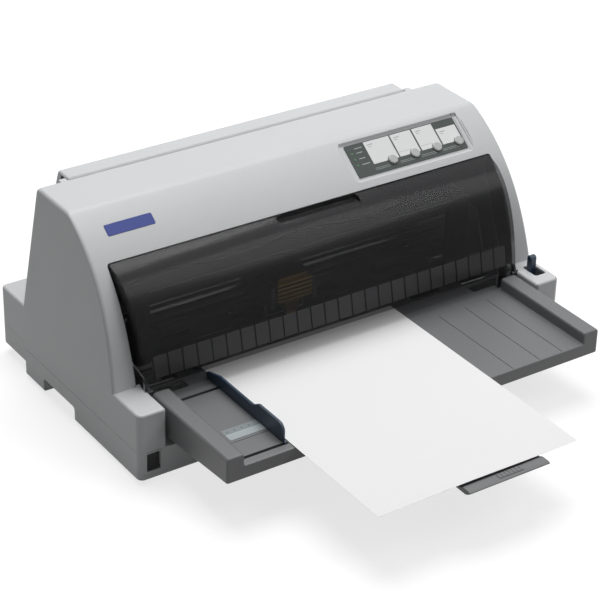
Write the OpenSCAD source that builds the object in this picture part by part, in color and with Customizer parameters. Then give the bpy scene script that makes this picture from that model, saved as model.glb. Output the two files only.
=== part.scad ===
// Flatbed dot matrix printer with a smoked front cover, a front paper tray and a rear cover.
// Inner drawing frame: X to the right, Y to the back with Y = 0 at the corner blocks' front faces,
// Z up from the surface that the feet stand on. home() moves it so that the origin is centred.

/* [Case] */
// Width over the corner blocks
case_w = 480; // [470:1:520]
// Depth from the corner blocks' front faces to the rear face
case_d = 274.5; // [272:0.5:290]
// Height from the table to the top face
case_h = 210; // [208:1:216]
// Wall of the case shells
wall = 2.8; // [2.2:0.1:3.4]
// Height of the seam between lower case and upper housing
seam_z = 32.2; // [31:0.1:33]
// Height of the corner blocks
block_h = 72.3; // [71.8:0.1:73.2]
// Depth of the corner blocks
block_d = 45; // [44:0.5:46]
// Width of the corner blocks
block_w = 28.5; // [26:0.1:30]
// Lean of each side face between block height and top
side_lean = 10.4; // [6:0.2:12]
// Depth of the lower main body, from block face to the rear step
main_d = 219.4; // [218:0.2:221]
// Sideways step-in of the rear extension
rear_inset = 5.3; // [4:0.1:7]
// Height of the rear extension
rear_h = 73.4; // [72:0.2:75]
// Underside height of the rear extension
rear_floor_z = 9.4; // [8:0.2:9.6]

/* [Feet] */
// Height of the rubber feet
foot_h = 3; // [2.5:0.1:4]
// Radius of the rubber feet
foot_r = 9; // [7:0.5:11]

/* [Front cover] */
// Growth of the cover's half width from its lower to its upper edge
cover_spread = 4.7; // [3:0.1:6]
// Depth of the cover's upper edge behind the block faces
cover_top_y = 92; // [91:0.2:93]
// Drop of the cover's upper edge below the top face
cover_drop = 35; // [33:0.5:37]
// Depth of the cover's lower edge behind the block faces
cover_low_y = 33; // [32:0.2:34]
// Height of the cover's lower edge
cover_low_z = 75; // [74.5:0.1:75.5]
// Lean of the cover's face where it leaves its lower edge, in millimetres over its first stretch
cover_low_pull = 5; // [3:0.5:7]
// Thickness of the cover
cover_t = 2.4; // [2:0.1:3]
// Width of the grip recess
grip_w = 92; // [70:2:110]
// Depth of the grip recess
grip_d = 6; // [4:0.5:7]
// Spacing of the ribs on the cover's lower band
rib_pitch = 15.5; // [12:0.5:20]
// Radius of the cover's hinge pins
cover_pin_r = 2; // [1.8:0.05:2.3]

/* [Rear cover] */
// Inset of the rear cover's left end from the top face's left edge
rear_cover_left = 33.6; // [30:0.2:40]
// Inset of the rear cover's right end from the top face's right edge
rear_cover_right = 40.6; // [36:0.2:46]
// Thickness of the rear cover
rear_cover_t = 2.5; // [2:0.1:3]
// Radius of the rear cover's hinge pins
rear_pin_r = 2; // [1.6:0.05:2.2]

/* [Tray] */
// Gap between the tray and each corner block
tray_gap = 3.1; // [2.5:0.1:4]
// Reach of the tray in front of the block faces
tray_reach = 95.5; // [90:0.5:105]
// Height of the tray floor, which is the paper level
floor_z = 59; // [58.8:0.1:59.2]
// Height of the tray rims above the tray floor
rim_h = 12; // [8:0.5:12.3]
// Width of the tray rims
rim_w = 18; // [14:0.5:20]
// Wall of the tray
tray_wall = 2.4; // [2:0.1:3]
// Left edge of the paper and right face of the edge guide
paper_left = -138.3; // [-141:0.1:-136]
// Sheet width
paper_w = 215.9; // [180:0.1:260]
// Sheet length
paper_l = 279.4; // [250:0.1:297]
// Thickness of the drawn sheet
paper_t = 0.4; // [0.3:0.05:0.5]
// Reach of the sheet in front of the block faces
paper_reach = 219; // [200:1:222]
// Width of the tray extension's bar
ext_w = 88; // [70:1:100]
// Reach of the extension bar in front of the block faces
ext_reach = 230.5; // [226:0.5:240]

/* [Mechanism] */
// Inset of each side frame from the tray bay's side
frame_inset = 6.5; // [6:0.1:9]
// Thickness of the side frames
frame_t = 2; // [1.5:0.1:2.4]
// Radius of the platen
platen_r = 12; // [11.8:0.1:12.2]
// Distance of the platen axis behind the block faces
platen_y = 98; // [97:0.5:99]
// Radius of the feed rollers
feed_r = 8; // [7.8:0.1:8.1]
// Centre distance from platen to each feed roller
feed_span = 30; // [29.8:0.1:30.2]
// Radius of the pinch rollers
pinch_r = 6; // [5.5:0.1:6.2]
// Radius of the carriage shaft
rail_r = 5; // [4:0.1:5.4]
// Distance of the carriage shaft behind the block faces
rail_y = 138; // [137.5:0.25:139]
// Height of the carriage shaft
rail_z = 84; // [83.5:0.25:85]
// Place of the print head along the carriage shaft
head_x = -16; // [-60:1:60]
// Teeth of the platen gear
platen_teeth = 30;
// Teeth of the feed roller gears
feed_teeth = 20;
// Teeth of the idler gears
idler_teeth = 16;
// Teeth of the feed pinion
pinion_teeth = 16;

/* [Clearances] */
// Gap between a shaft and its bore
run_gap = 0.05; // [0.02:0.01:0.09]
// Gap between pieces that move past each other
slide_gap = 0.35; // [0.3:0.05:0.4]
// Gap around a cover in its opening
cover_gap = 0.8; // [0.5:0.1:1]

/* [Hidden] */
$fn = 48;

// Body colours
BODY_GREY = [0.80, 0.81, 0.82];
TRAY_GREY = [0.36, 0.37, 0.39];
SMOKE = [0.10, 0.11, 0.12, 0.75];
DEEP_BLUE = [0.13, 0.2, 0.3];
STEEL = [0.66, 0.67, 0.69];
RUBBER = [0.08, 0.08, 0.08];
NYLON = [0.85, 0.84, 0.8];
BLACK = [0.07, 0.07, 0.08];

home_y = (ext_reach - case_d) / 2;
half_w = case_w / 2;
mouth_half = half_w - block_w;
tray_half = mouth_half - tray_gap;
cover_low_half = mouth_half - 0.5;
cover_top_half = cover_low_half + cover_spread;
cover_top_z = case_h - cover_drop;
frame_span = 2 * (mouth_half - frame_inset);
rear_half = half_w - rear_inset;
top_half = half_w - side_lean;
inner_half = frame_span / 2 - frame_t;
paper_lift = 0.4;
paper_z = floor_z + paper_lift;
rim_inner = tray_half - rim_w;
rim_z = floor_z + rim_h;
cover_hole_half = cover_top_half + cover_gap;
hinge_y = cover_low_y + 0.5;
hinge_z = cover_low_z - 4.5;
cover_low = [cover_low_y, cover_low_z];
cover_top = [cover_top_y, cover_top_z];
platen_z = floor_z - platen_r;
feed_z = floor_z - feed_r;
feed_dy = sqrt(pow(feed_span, 2) - pow(feed_z - platen_z, 2));
front_feed_y = platen_y - feed_dy;
rear_feed_y = platen_y + feed_dy;
pinch_z = paper_z + paper_t + 0.3 + pinch_r;
shaft_r = 3;
shaft_reach = frame_span / 2 + 9;
gear_x = frame_span / 2 + 1.5;
gear_w = 6;
cut = 1;

/* ---------- general shapes ---------- */

module home() translate([0, home_y, 0]) children();
module box(a, b) translate(a) cube(b - a);
module rod_x(x0, x1, r, y, z) translate([x0, y, z]) rotate([0, 90, 0]) cylinder(h = x1 - x0, r = r);
module rod_z(z0, z1, r, x, y) translate([x, y, z0]) cylinder(h = z1 - z0, r = r);
// An outline in Y and Z, carried along X
module slab_x(outline, x0, x1)
    translate([x0, 0, 0]) rotate([90, 0, 90]) linear_extrude(x1 - x0) polygon(outline);
// An outline in X and Z, carried along Y
module slab_y(outline, y0, y1)
    translate([0, y1, 0]) rotate([90, 0, 0]) linear_extrude(y1 - y0) polygon(outline);
module both_sides() { children(); mirror([1, 0, 0]) children(); }

function unit(v) = v / norm(v);
function arc(centre, r, from, to, steps) =
    [for (i = [0:steps]) let (a = from + (to - from) * i / steps) centre + r * [cos(a), sin(a)]];
// A closed counter-clockwise outline moved inwards by d, with its corners kept sharp
function inset(outline, d) = let (n = len(outline)) [for (i = [0:n - 1])
    let (u = unit(outline[i] - outline[(i + n - 1) % n]), v = unit(outline[(i + 1) % n] - outline[i]),
        a = [-u.y, u.x], b = [-v.y, v.x]) outline[i] + d * (a + b) / (1 + a * b)];

/* ---------- case outlines ---------- */

// The front sweep is one cubic curve from the block's top to the front edge of the top face
sweep_foot = [block_d, block_h];
sweep_head = [138, case_h - 1];
sweep_foot_angle = 78;
sweep_head_angle = 27;
sweep_foot_pull = 66;
sweep_head_pull = 60;
sweep_steps = 14;
sweep_a = sweep_foot + sweep_foot_pull * [cos(sweep_foot_angle), sin(sweep_foot_angle)];
sweep_b = sweep_head - sweep_head_pull * [cos(sweep_head_angle), sin(sweep_head_angle)];
function sweep(t) = pow(1 - t, 3) * sweep_foot + 3 * pow(1 - t, 2) * t * sweep_a
    + 3 * (1 - t) * t * t * sweep_b + pow(t, 3) * sweep_head;
function sweep_slope(t) = let (d = sweep(t + 0.01) - sweep(t - 0.01)) atan2(d.y, d.x);

// A band of depth d behind the sweep
function sweep_band(d) = concat([for (i = [0:sweep_steps]) sweep(i / sweep_steps)],
    [for (i = [sweep_steps:-1:0]) let (t = i / sweep_steps, a = sweep_slope(t))
        sweep(t) + d * [sin(a), -cos(a)]]);

block_round = wall + 0.6;
top_back_y = 200.5;
top_back_round = 6;
rear_slope_z = 80.5;

// Side outline of the main body above the seam, counter-clockwise seen with Y to the right
side_outline = concat(
    [[0, seam_z], [main_d, seam_z], [main_d, rear_slope_z]],
    arc([top_back_y - top_back_round, case_h - top_back_round], top_back_round, 8, 90, 4),
    [[sweep_head.x + 4, case_h]],
    [for (i = [0:sweep_steps]) sweep(1 - i / sweep_steps)],
    arc([block_round, block_h - block_round], block_round, 90, 180, 4));
front_outline = [[-half_w, seam_z], [half_w, seam_z], [half_w, block_h], [top_half, case_h],
    [-top_half, case_h], [-half_w, block_h]];

/* ---------- slope frame of the control panel ---------- */

panel_t = 0.8485;
panel_tilt = sweep_slope(panel_t);
panel_at = sweep(panel_t);
panel_mid_x = top_half - 98.6;
pocket_w = 142;
pocket_h = 43;
pocket_d = 2.4;
overlay_w = 131;
overlay_h = 36;
overlay_t = 0.8;
button_r = 5;
button_pitch = 26.8;
button_first_x = panel_mid_x - 21.4;
button_v = -8.6;
button_lift = 1.8;
lamp_x = panel_mid_x - 60.5;
lamp_v = 8;
lamp_pitch = 6.5;
lamp_r = 1.1;
badge_x = -top_half + 50;
badge_w = 49;
badge_h = 11.6;
badge_t = 0.8;
badge_seat = -0.5;
// Draws in the panel's frame: X, then up the slope, then out of the surface
module on_panel() translate([0, panel_at.x, panel_at.y]) rotate([panel_tilt, 0, 0]) children();

/* ---------- casing ---------- */

module main_shell() difference() {
    intersection() {
        slab_x(side_outline, -half_w, half_w);
        slab_y(front_outline, -cut, main_d + cut);
    }
    intersection() {
        slab_x(inset(side_outline, wall), -half_w, half_w);
        slab_y(inset(front_outline, wall), -cut, main_d + cut);
    }
    box([-half_w + wall, wall, seam_z - cut], [half_w - wall, main_d - wall, seam_z + wall + 0.5]);
}

channel_half = half_w - 75;
channel_floor = seam_z + 2;
rear_cover_x0 = -top_half + rear_cover_left;
rear_cover_x1 = top_half - rear_cover_right;
rear_gap_x0 = rear_cover_x0 - cover_gap;
rear_gap_x1 = rear_cover_x1 + cover_gap;
rear_gap_z = rear_h + 4;
rear_hinge_y = 202;
rear_hinge_z = case_h - 3.3;
rear_edge_y = 199.4;
lever_slot_x = [half_w - 18, half_w - 5];
lever_slot_y = [15, 36];
lever_pivot_y = 28;
lever_pivot_z = 40;
lever_pin_r = 2;
lever_pin_cover = 1.2;
cross_z = 48;
pin_boss = 9;
pin_depth = 7;
frame_lug_z = 118;

// Pockets that the tractor channel, rear opening and rear cover need in the main shell and behind it
module rear_ways() {
    for (x = [[-rear_half + wall, -channel_half - wall], [channel_half + wall, rear_half - wall]])
        box([x[0], main_d - wall - 0.5, channel_floor], [x[1], main_d + cut, rear_h - wall]);
    box([-channel_half, main_d - wall - 0.5, channel_floor], [channel_half, case_d + cut, rear_gap_z + 4]);
    box([rear_gap_x0, rear_edge_y - 1.3, rear_gap_z], [rear_gap_x1, main_d + 4, case_h + cut]);
}

module upper_housing() color(BODY_GREY) home() difference() {
    union() {
        intersection() {
            main_shell();
            box([-half_w, block_d, 0], [half_w, main_d, case_h]);
        }
        // Walls that close the cover opening, and the cross wall under the tray
        both_sides() intersection() {
            slab_x(sweep_band(24), cover_hole_half, cover_hole_half + wall);
            box([0, block_d, block_h - wall], [half_w, case_d, cover_top_z]);
        }
        box([-mouth_half - 1, block_d, seam_z], [mouth_half + 1, block_d + wall - 1, cross_z]);
        // Bosses that carry the rear cover's pins
        for (x = [rear_gap_x0 - pin_boss, rear_gap_x1])
            box([x, rear_hinge_y - 5, rear_hinge_z - 4], [x + pin_boss, rear_hinge_y + 2, case_h - 1]);
        // Seat behind the control panel
        on_panel() translate([panel_mid_x - pocket_w / 2 - 2, -pocket_h / 2 - 2, -pocket_d - 4])
            cube([pocket_w + 4, pocket_h + 4, 4]);
    }
    box([-mouth_half, block_d - 2, cross_z], [mouth_half, block_d + 4, rim_z + 15]);
    box([-cover_hole_half, 0, block_h], [cover_hole_half, block_d + 75, cover_top_z + cover_gap]);
    rear_ways();
    // Panel pocket, its button holes and its lamp holes
    on_panel() {
        translate([panel_mid_x - pocket_w / 2, -pocket_h / 2, -pocket_d]) cube([pocket_w, pocket_h, 12]);
        for (i = [0:3]) translate([button_first_x + i * button_pitch, button_v, -pocket_d - 8])
            cylinder(h = 12, r = button_r + slide_gap);
        lamp_holes();
        translate([badge_x - badge_w / 2, -badge_h / 2, badge_seat]) cube([badge_w, badge_h, 5]);
    }
    // Seats of the rear cover's pins
    rod_x(rear_gap_x0 - pin_depth, rear_gap_x0 + cut, rear_pin_r, rear_hinge_y, rear_hinge_z);
    rod_x(rear_gap_x1 - cut, rear_gap_x1 + pin_depth, rear_pin_r, rear_hinge_y, rear_hinge_z);
}

// Corner blocks at both sides of the tray, which carry the front cover's pins and the lever's pin
module corner_blocks() color(BODY_GREY) home() difference() {
    both_sides() {
        intersection() {
            main_shell();
            box([mouth_half, 0, 0], [half_w, block_d, case_h]);
        }
        box([mouth_half, 0.5, seam_z], [mouth_half + wall, block_d, block_h - 0.5]);
    }
    box([lever_slot_x[0], lever_slot_y[0], block_h - wall - cut],
        [lever_slot_x[1], lever_slot_y[1], block_h + cut]);
    rod_x(mouth_half - cut, half_w - lever_pin_cover, lever_pin_r, lever_pivot_y, lever_pivot_z);
    both_sides() rod_x(mouth_half - cut, mouth_half + wall, cover_pin_r, hinge_y, hinge_z);
}

// Rear part with the tractor channel and the bearings of its two shafts
module rear_housing() color(BODY_GREY) home() difference() {
    union() {
        difference() {
            box([-rear_half, main_d, seam_z], [rear_half, case_d, rear_h]);
            box([-rear_half + wall, main_d - cut, seam_z - cut],
                [rear_half - wall, case_d - wall, rear_h - wall]);
        }
        box([-channel_half - wall, main_d, seam_z], [channel_half + wall, case_d, channel_floor]);
        both_sides() box([channel_half, main_d, seam_z], [channel_half + wall, case_d, rear_h]);
    }
    rear_ways();
    for (y = [tractor_y, tractor_y + tractor_pitch]) both_sides()
        rod_x(channel_half - cut, channel_half + wall + cut, shaft_r + run_gap, y, tractor_z);
}

floor_t = 2.6;
notch_y = [120, 181];
notch_z = 17.6;
notch_in = 32;
boss_x = half_w - 52;
boss_y = [66, 200];
frame_z = 24;
board_z = 12;
switch_x = [-half_w + 7, -half_w + 22];
switch_z = [12, 31.5];
inlet_x = [-rear_half + 44.7, -rear_half + 72.7];
inlet_z = [12, 31.6];
parallel_x = [60, 118];
usb_x = [140, 153];
port_z = [13.4, 25.5];
screw_r = 2;

module lower_case() color(BODY_GREY) home() {
    difference() {
        union() {
            box([-half_w, 0, foot_h], [half_w, main_d, seam_z]);
            box([-rear_half, main_d - cut, rear_floor_z], [rear_half, case_d, seam_z]);
        }
        difference() {
            union() {
                box([-half_w + wall, wall, foot_h + floor_t], [half_w - wall, main_d - wall, seam_z + cut]);
                box([-rear_half + wall, main_d - wall - cut, rear_floor_z + floor_t],
                    [rear_half - wall, case_d - wall, seam_z + cut]);
            }
            // Hand notch housings and bosses stand in the hollow
            both_sides() {
                box([half_w - notch_in - wall, notch_y[0] - wall, 0],
                    [half_w, notch_y[1] + wall, notch_z + wall]);
                for (y = boss_y) rod_z(foot_h, frame_z, 6, boss_x, y);
            }
            for (x = [-65, 35, half_w - 68], y = [160, 262]) rod_z(foot_h, board_z, 3.5, x, y);
            rod_z(foot_h, board_z, 3.5, -half_w + 68, 160);
        }
        both_sides() {
            box([half_w - notch_in, notch_y[0], -cut], [half_w + cut, notch_y[1], notch_z]);
            for (y = boss_y) rod_z(foot_h + floor_t + 4, frame_z + cut, screw_r, boss_x, y);
        }
        box([switch_x[0], -cut, switch_z[0]], [switch_x[1], wall + cut, seam_z + cut]);
        box([inlet_x[0], case_d - wall - cut, inlet_z[0]], [inlet_x[1], case_d + cut, seam_z + cut]);
        box([parallel_x[0], case_d - wall - cut, port_z[0]], [parallel_x[1], case_d + cut, port_z[1]]);
        box([usb_x[0], case_d - wall - cut, port_z[0]], [usb_x[1], case_d + cut, port_z[1]]);
    }
}

foot_y = [22, 205];
foot_inset = 22;
module rubber_feet() color(RUBBER) home() both_sides()
    for (y = foot_y) rod_z(0, foot_h, foot_r, half_w - foot_inset, y);

/* ---------- covers ---------- */

// The cover's face is one cubic curve that runs in front of the housing's sweep
cover_low_control = cover_low + [cover_low_pull, 35];
cover_top_control = cover_top - [39, 9];
cover_steps = 12;
function cover_face(t) = pow(1 - t, 3) * cover_low + 3 * pow(1 - t, 2) * t * cover_low_control
    + 3 * (1 - t) * t * t * cover_top_control + pow(t, 3) * cover_top;
function cover_slope(t) = let (d = cover_face(t + 0.01) - cover_face(t - 0.01)) atan2(d.y, d.x);
// The face moved into the cover by d
function cover_inside(d) = [for (i = [0:cover_steps]) let (t = i / cover_steps, a = cover_slope(t))
    cover_face(t) + d * [sin(a), -cos(a)]];
flank_foot = 24;
flank_head = 9;
cover_side = concat([for (i = [0:cover_steps]) cover_face(1 - i / cover_steps)],
    [cover_low + [6, 0], cover_low + [flank_foot, 10], cover_top + [3, -flank_head]]);
cover_hollow = concat([[cover_top_y + 40, cover_top_z - 4]], [for (i = [0:cover_steps])
    cover_inside(cover_t)[cover_steps - i]], [cover_low + [60, cover_t]]);
band_at = [0.04, 0.24];
// Front view of the cover, moved inwards by d and drawn past both its edges
cover_over = 10;
function cover_front(d) = let (rise = cover_top_z - cover_low_z,
    grow = (cover_top_half - cover_low_half) / rise, low = cover_low_half - d,
    reach = low + grow * (rise + cover_over), head_z = cover_top_z + cover_over)
    [[-low, cover_low_z - cover_over], [low, cover_low_z - cover_over], [low, cover_low_z],
    [reach, head_z], [-reach, head_z], [-low, cover_low_z]];
// Draws at a place along the cover's face: X, then up the face, then out of it
module on_cover(t) translate([0, cover_face(t).x, cover_face(t).y]) rotate([cover_slope(t), 0, 0]) children();
grip_t = 0.955;
grip_h = 10;
grip_x = 8;
last_rib = floor((cover_low_half - 8) / rib_pitch);

ear_x0 = tray_half + 0.35;
ear_x1 = mouth_half - 0.35;

module front_cover() color(SMOKE) home() {
    difference() {
        intersection() {
            slab_x(cover_side, -half_w, half_w);
            slab_y(cover_front(0), 0, 150);
        }
        intersection() {
            slab_x(cover_hollow, -half_w, half_w);
            slab_y(cover_front(cover_t), -50, 200);
        }
        on_cover(grip_t) translate([grip_x - grip_w / 2, -grip_h / 2, -grip_d]) cube([grip_w, grip_h, 20]);
        both_sides() rod_x(0, half_w, cover_pin_r + run_gap, hinge_y, hinge_z);
    }
    // Pan behind the grip recess
    on_cover(grip_t) translate([grip_x - grip_w / 2 - cover_t, -grip_h / 2 - cover_t, -grip_d - cover_t])
        difference() {
            cube([grip_w + 2 * cover_t, grip_h + 2 * cover_t, grip_d + 0.6]);
            translate([cover_t, cover_t, cover_t]) cube([grip_w, grip_h, 20]);
        }
    // Vertical ribs on the inner face of the lower band
    for (i = [-last_rib:last_rib]) translate([i * rib_pitch - 0.6, 0, 0]) slab_x(
        [cover_face(band_at[0]) + [1, 0], cover_face(band_at[0]) + [3.6, 0],
        cover_face(band_at[1]) + [4, 0], cover_face(band_at[1]) + [1.2, 0]], 0, 1.2);
    // Ears that turn on the hinge pins
    both_sides() difference() {
        union() {
            rod_x(ear_x0, ear_x1, 4.2, hinge_y, hinge_z);
            slab_x([[hinge_y - 3.4, hinge_z + 1], [hinge_y + 4.1, hinge_z + 1],
                [hinge_y + 5.2, cover_low_z + 4], [hinge_y + 2.4, cover_low_z + 3]], ear_x0, ear_x1);
        }
        rod_x(ear_x0 - cut, ear_x1 + cut, cover_pin_r + run_gap, hinge_y, hinge_z);
    }
}

rear_cover_y = case_d - 7.5;
rear_cover_round = 9;
rear_cover_at = [213, case_h - rear_cover_round];
rear_cover_foot = rear_gap_z + 1.2;
rear_cover_out = concat([[rear_edge_y, case_h - 5], [206, 150], [213, rear_cover_foot],
    [rear_cover_y - 1, rear_cover_foot], [rear_cover_y, 88]],
    arc(rear_cover_at, rear_cover_round, 17, 90, 5),
    [[rear_edge_y + 1.4, case_h], [rear_edge_y, case_h - 1.4]]);
rear_cover_in = concat([[190, case_h - 9], [190, rear_gap_z - 5],
    [rear_cover_y - rear_cover_t, rear_gap_z - 5], [rear_cover_y - rear_cover_t - 0.2, 88]],
    arc(rear_cover_at, rear_cover_round - rear_cover_t, 17, 90, 5), [[190, case_h - rear_cover_t]]);

module rear_cover() color(BODY_GREY) home() difference() {
    union() {
        difference() {
            slab_x(rear_cover_out, rear_cover_x0, rear_cover_x1);
            slab_x(rear_cover_in, rear_cover_x0 + rear_cover_t, rear_cover_x1 - rear_cover_t);
        }
        for (x = [rear_cover_x0, rear_cover_x1 - rear_cover_t])
            box([x, rear_edge_y, rear_hinge_z - 3.4], [x + rear_cover_t, rear_hinge_y + 12, case_h - 1.4]);
    }
    for (x = [rear_cover_x0, rear_cover_x1 - rear_cover_t])
        rod_x(x - cut, x + rear_cover_t + cut, rear_pin_r + run_gap, rear_hinge_y, rear_hinge_z);
}

module hinge_pins() color(STEEL) home() {
    both_sides() rod_x(ear_x0 - 2.5, mouth_half + wall, cover_pin_r, hinge_y, hinge_z);
    rod_x(rear_gap_x0 - pin_depth, rear_cover_x0 + rear_cover_t, rear_pin_r, rear_hinge_y, rear_hinge_z);
    rod_x(rear_cover_x1 - rear_cover_t, rear_gap_x1 + pin_depth, rear_pin_r, rear_hinge_y, rear_hinge_z);
    rod_x(mouth_half, half_w - lever_pin_cover, lever_pin_r, lever_pivot_y, lever_pivot_z);
}

/* ---------- paper tray ---------- */

tray_back = 30;
tray_under_front = 45.3;
tray_under_back = 35.6;
ext_x0 = -50.5;
ext_x1 = ext_x0 + ext_w;
ext_plate_z = [floor_z - 6.2, floor_z - 2.8];
ext_plate_back = -70;
ext_bar_z = floor_z - 0.8;
ext_grip_x = [ext_x0 + 35, ext_x1 - 26];
guide_x = paper_left - 2;
guide_t = 3;
guide_slots = [-85, 23];
guide_slot_x = [-rim_inner + 0.9, paper_left - 0.7];
strip_x = [-rim_inner + 10.4, paper_left - 4.7];
strip_y = [-56.5, -39.5];
strip_t = 0.2;
guide_lift = 0.5;
guide_low_z = floor_z + 12.6;
guide_top_z = floor_z + 18;

module front_tray() color(TRAY_GREY) home() {
    difference() {
        slab_x([[-tray_reach, tray_under_front], [0, tray_under_back], [tray_back, tray_under_back],
            [tray_back, rim_z], [-tray_reach + 3, rim_z], [-tray_reach, rim_z - 3]], -tray_half, tray_half);
        // Floor between the rims
        box([-rim_inner, -tray_reach - cut, floor_z], [rim_inner, tray_back + cut, rim_z + cut]);
        // Hollow underside, open at the back
        box([-tray_half + tray_wall, -tray_reach + tray_wall, 0],
            [tray_half - tray_wall, tray_back + cut, floor_z - tray_wall]);
        // Slot of the extension plate
        box([ext_x0 - slide_gap, -tray_reach - cut, ext_plate_z[0] - slide_gap],
            [ext_x1 + slide_gap, -tray_reach + tray_wall + cut, ext_plate_z[1] + slide_gap]);
        // Cross slots of the edge guide
        for (y = guide_slots) box([guide_slot_x[0], y - 1.8, 0], [guide_slot_x[1], y + 1.8, floor_z + cut]);
        // Three grooves along the right side
        for (x = [100, 132, 164]) box([x, -60, floor_z - 0.6], [x + 1.2, 10, floor_z + cut]);
    }
    // Ledges that carry the extension plate
    for (x = [ext_x0 - 4, ext_x1 - 6])
        difference() {
            box([x, -tray_reach + tray_wall, ext_plate_z[0] - 3], [x + 10, 18, floor_z - tray_wall]);
            box([x < 0 ? x + 4 - slide_gap : x - cut, -tray_reach, ext_plate_z[0] - slide_gap],
                [x < 0 ? x + 11 : x + 6 + slide_gap, 19, floor_z - tray_wall + cut]);
        }
    // Floor tongue that meets the lower paper guide, and the lugs between the corner blocks
    box([-rim_inner, tray_back - cut, floor_z - tray_wall], [rim_inner, block_d - 5, floor_z]);
    both_sides() box([tray_half - cut, 8, 40], [mouth_half, tray_back - 4, 50]);
}

module scale_strip() color([0.75, 0.76, 0.77]) home()
    box([strip_x[0], strip_y[0], floor_z], [strip_x[1], strip_y[1], floor_z + strip_t]);

module edge_guide() color(DEEP_BLUE) home() {
    slab_x(concat([[-83, floor_z + guide_lift], [44, floor_z + guide_lift], [44, floor_z + 6.5],
        [22, guide_low_z], [-35, guide_low_z], [-42, guide_top_z], [-72, guide_top_z]],
        arc([-76, guide_top_z - 7], 7, 90, 180, 5)), guide_x - guide_t, guide_x);
    // Rounded top bead, foot flange and the two hooks in the cross slots
    box([guide_x - guide_t - 2.5, -72, guide_top_z - 2], [guide_x - guide_t, -42, guide_top_z]);
    for (y = guide_slots) {
        box([guide_x - guide_t - 11, y - 3.5, floor_z + guide_lift],
            [guide_x - guide_t, y + 3.5, floor_z + 2.4]);
        box([guide_x - guide_t - 9, y - 1.4, floor_z - 6], [guide_x - guide_t - 1, y + 1.4, floor_z + 1]);
        box([guide_x - guide_t - 10, y - 3.2, floor_z - 6], [guide_x - guide_t - 1, y + 3.2, floor_z - 4]);
    }
}

module tray_extension() color(TRAY_GREY) home() {
    box([ext_x0, -ext_reach + 4, ext_plate_z[0]], [ext_x1, ext_plate_back, ext_plate_z[1]]);
    // Thin cross bar, undercut towards its front edge
    slab_x([[-ext_reach, ext_bar_z - 1.8], [-ext_reach + 6, ext_plate_z[0]],
        [-ext_reach + 13, ext_plate_z[0]], [-ext_reach + 13, ext_bar_z - 1.2], [-ext_reach + 10, ext_bar_z],
        [-ext_reach + 3, ext_bar_z], [-ext_reach, ext_bar_z - 0.8]], ext_x0, ext_x1);
    // Raised grip pad on the bar
    box([ext_grip_x[0], -ext_reach + 3, floor_z - 2], [ext_grip_x[1], -ext_reach + 9.5, floor_z]);
}

module paper_sheet() color("white") home()
    translate([paper_left, -paper_reach, paper_z]) cube([paper_w, paper_l, paper_t]);

/* ---------- control panel ---------- */

module badge_plate() color([0.22, 0.27, 0.6]) home() on_panel()
    translate([badge_x - badge_w / 2, -badge_h / 2, badge_seat]) cube([badge_w, badge_h, badge_t]);

module lamp_holes() for (i = [0:2])
    translate([lamp_x, lamp_v - i * lamp_pitch, -pocket_d - 8]) cylinder(h = 12, r = lamp_r);

module panel_overlay() color([0.2, 0.23, 0.22]) home() on_panel() difference() {
    translate([panel_mid_x - overlay_w / 2, -overlay_h / 2, -pocket_d])
        cube([overlay_w, overlay_h, overlay_t]);
    for (i = [0:3]) translate([button_first_x + i * button_pitch, button_v, -pocket_d - cut])
        cylinder(h = 3, r = button_r + slide_gap);
    lamp_holes();
}

module panel_button(i) color([0.6, 0.61, 0.62]) home() on_panel()
    translate([button_first_x + i * button_pitch, button_v, 0]) {
        translate([0, 0, -pocket_d - 6]) cylinder(h = pocket_d + 4.8 + button_lift, r = button_r);
        translate([0, 0, -pocket_d - 6.8]) cylinder(h = 1, r = button_r + 1.2);
    }
module feed_button() panel_button(3);
module pause_button() panel_button(2);
module font_button() panel_button(1);
module tear_off_button() panel_button(0);

// Board of the control panel, with its switches, posts and lamps
module panel_board() on_panel() {
    translate([panel_mid_x - 67, -17, -pocket_d - 12]) cube([134, 34, 1.6]);
    for (i = [0:3]) translate([button_first_x + i * button_pitch - 3, button_v - 3, -pocket_d - 10.5])
        cube([6, 6, 2]);
    for (x = [panel_mid_x - 67, panel_mid_x + 64], y = [-17, 15])
        translate([x, y, -pocket_d - 10.5]) cube([3, 2, 6.5]);
    // Indicator lamps, whose tips come through the seat and the overlay
    for (i = [0:2]) translate([lamp_x, lamp_v - i * lamp_pitch, -pocket_d - 10.5])
        cylinder(h = 10.5 + overlay_t, r = lamp_r);
}

/* ---------- power switch and release lever ---------- */

rocker_r = 1.5;
rocker_y = 4;
switch_mid_z = (switch_z[0] + switch_z[1]) / 2;

module power_switch_body() color(BLACK) home() difference() {
    union() {
        box([switch_x[0] + 0.3, 0, switch_z[0] + 0.3], [switch_x[1] - 0.3, 22, switch_z[1]]);
        box([switch_x[0] - 1, -0.9, switch_z[0] - 1], [switch_x[1] + 1, 0, switch_z[1] + 0.5]);
    }
    box([switch_x[0] + 1.9, -2, switch_z[0] + 1.9], [switch_x[1] - 1.9, 12, switch_z[1] - 1.6]);
    rod_x(switch_x[0] + 1, switch_x[1] - 1, rocker_r + run_gap, rocker_y, switch_mid_z);
}

module power_rocker() color([0.1, 0.1, 0.11]) home() {
    slab_x([[0.4, switch_mid_z - 6.8], [3.2, switch_mid_z - 7.4], [7.4, switch_mid_z - 2.5],
        [7.4, switch_mid_z + 2.5], [5.4, switch_mid_z + 7.2], [2.8, switch_mid_z + 7.4], [1.9, switch_mid_z]],
        switch_x[0] + 2.25, switch_x[1] - 2.25);
    rod_x(switch_x[0] + 1.1, switch_x[1] - 1.1, rocker_r, rocker_y, switch_mid_z);
}

lever_half = 3.4;
lever_top_z = block_h + 12.7;
lever_x = [lever_slot_x[0] + 0.8, lever_slot_x[1] - 5];

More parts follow.
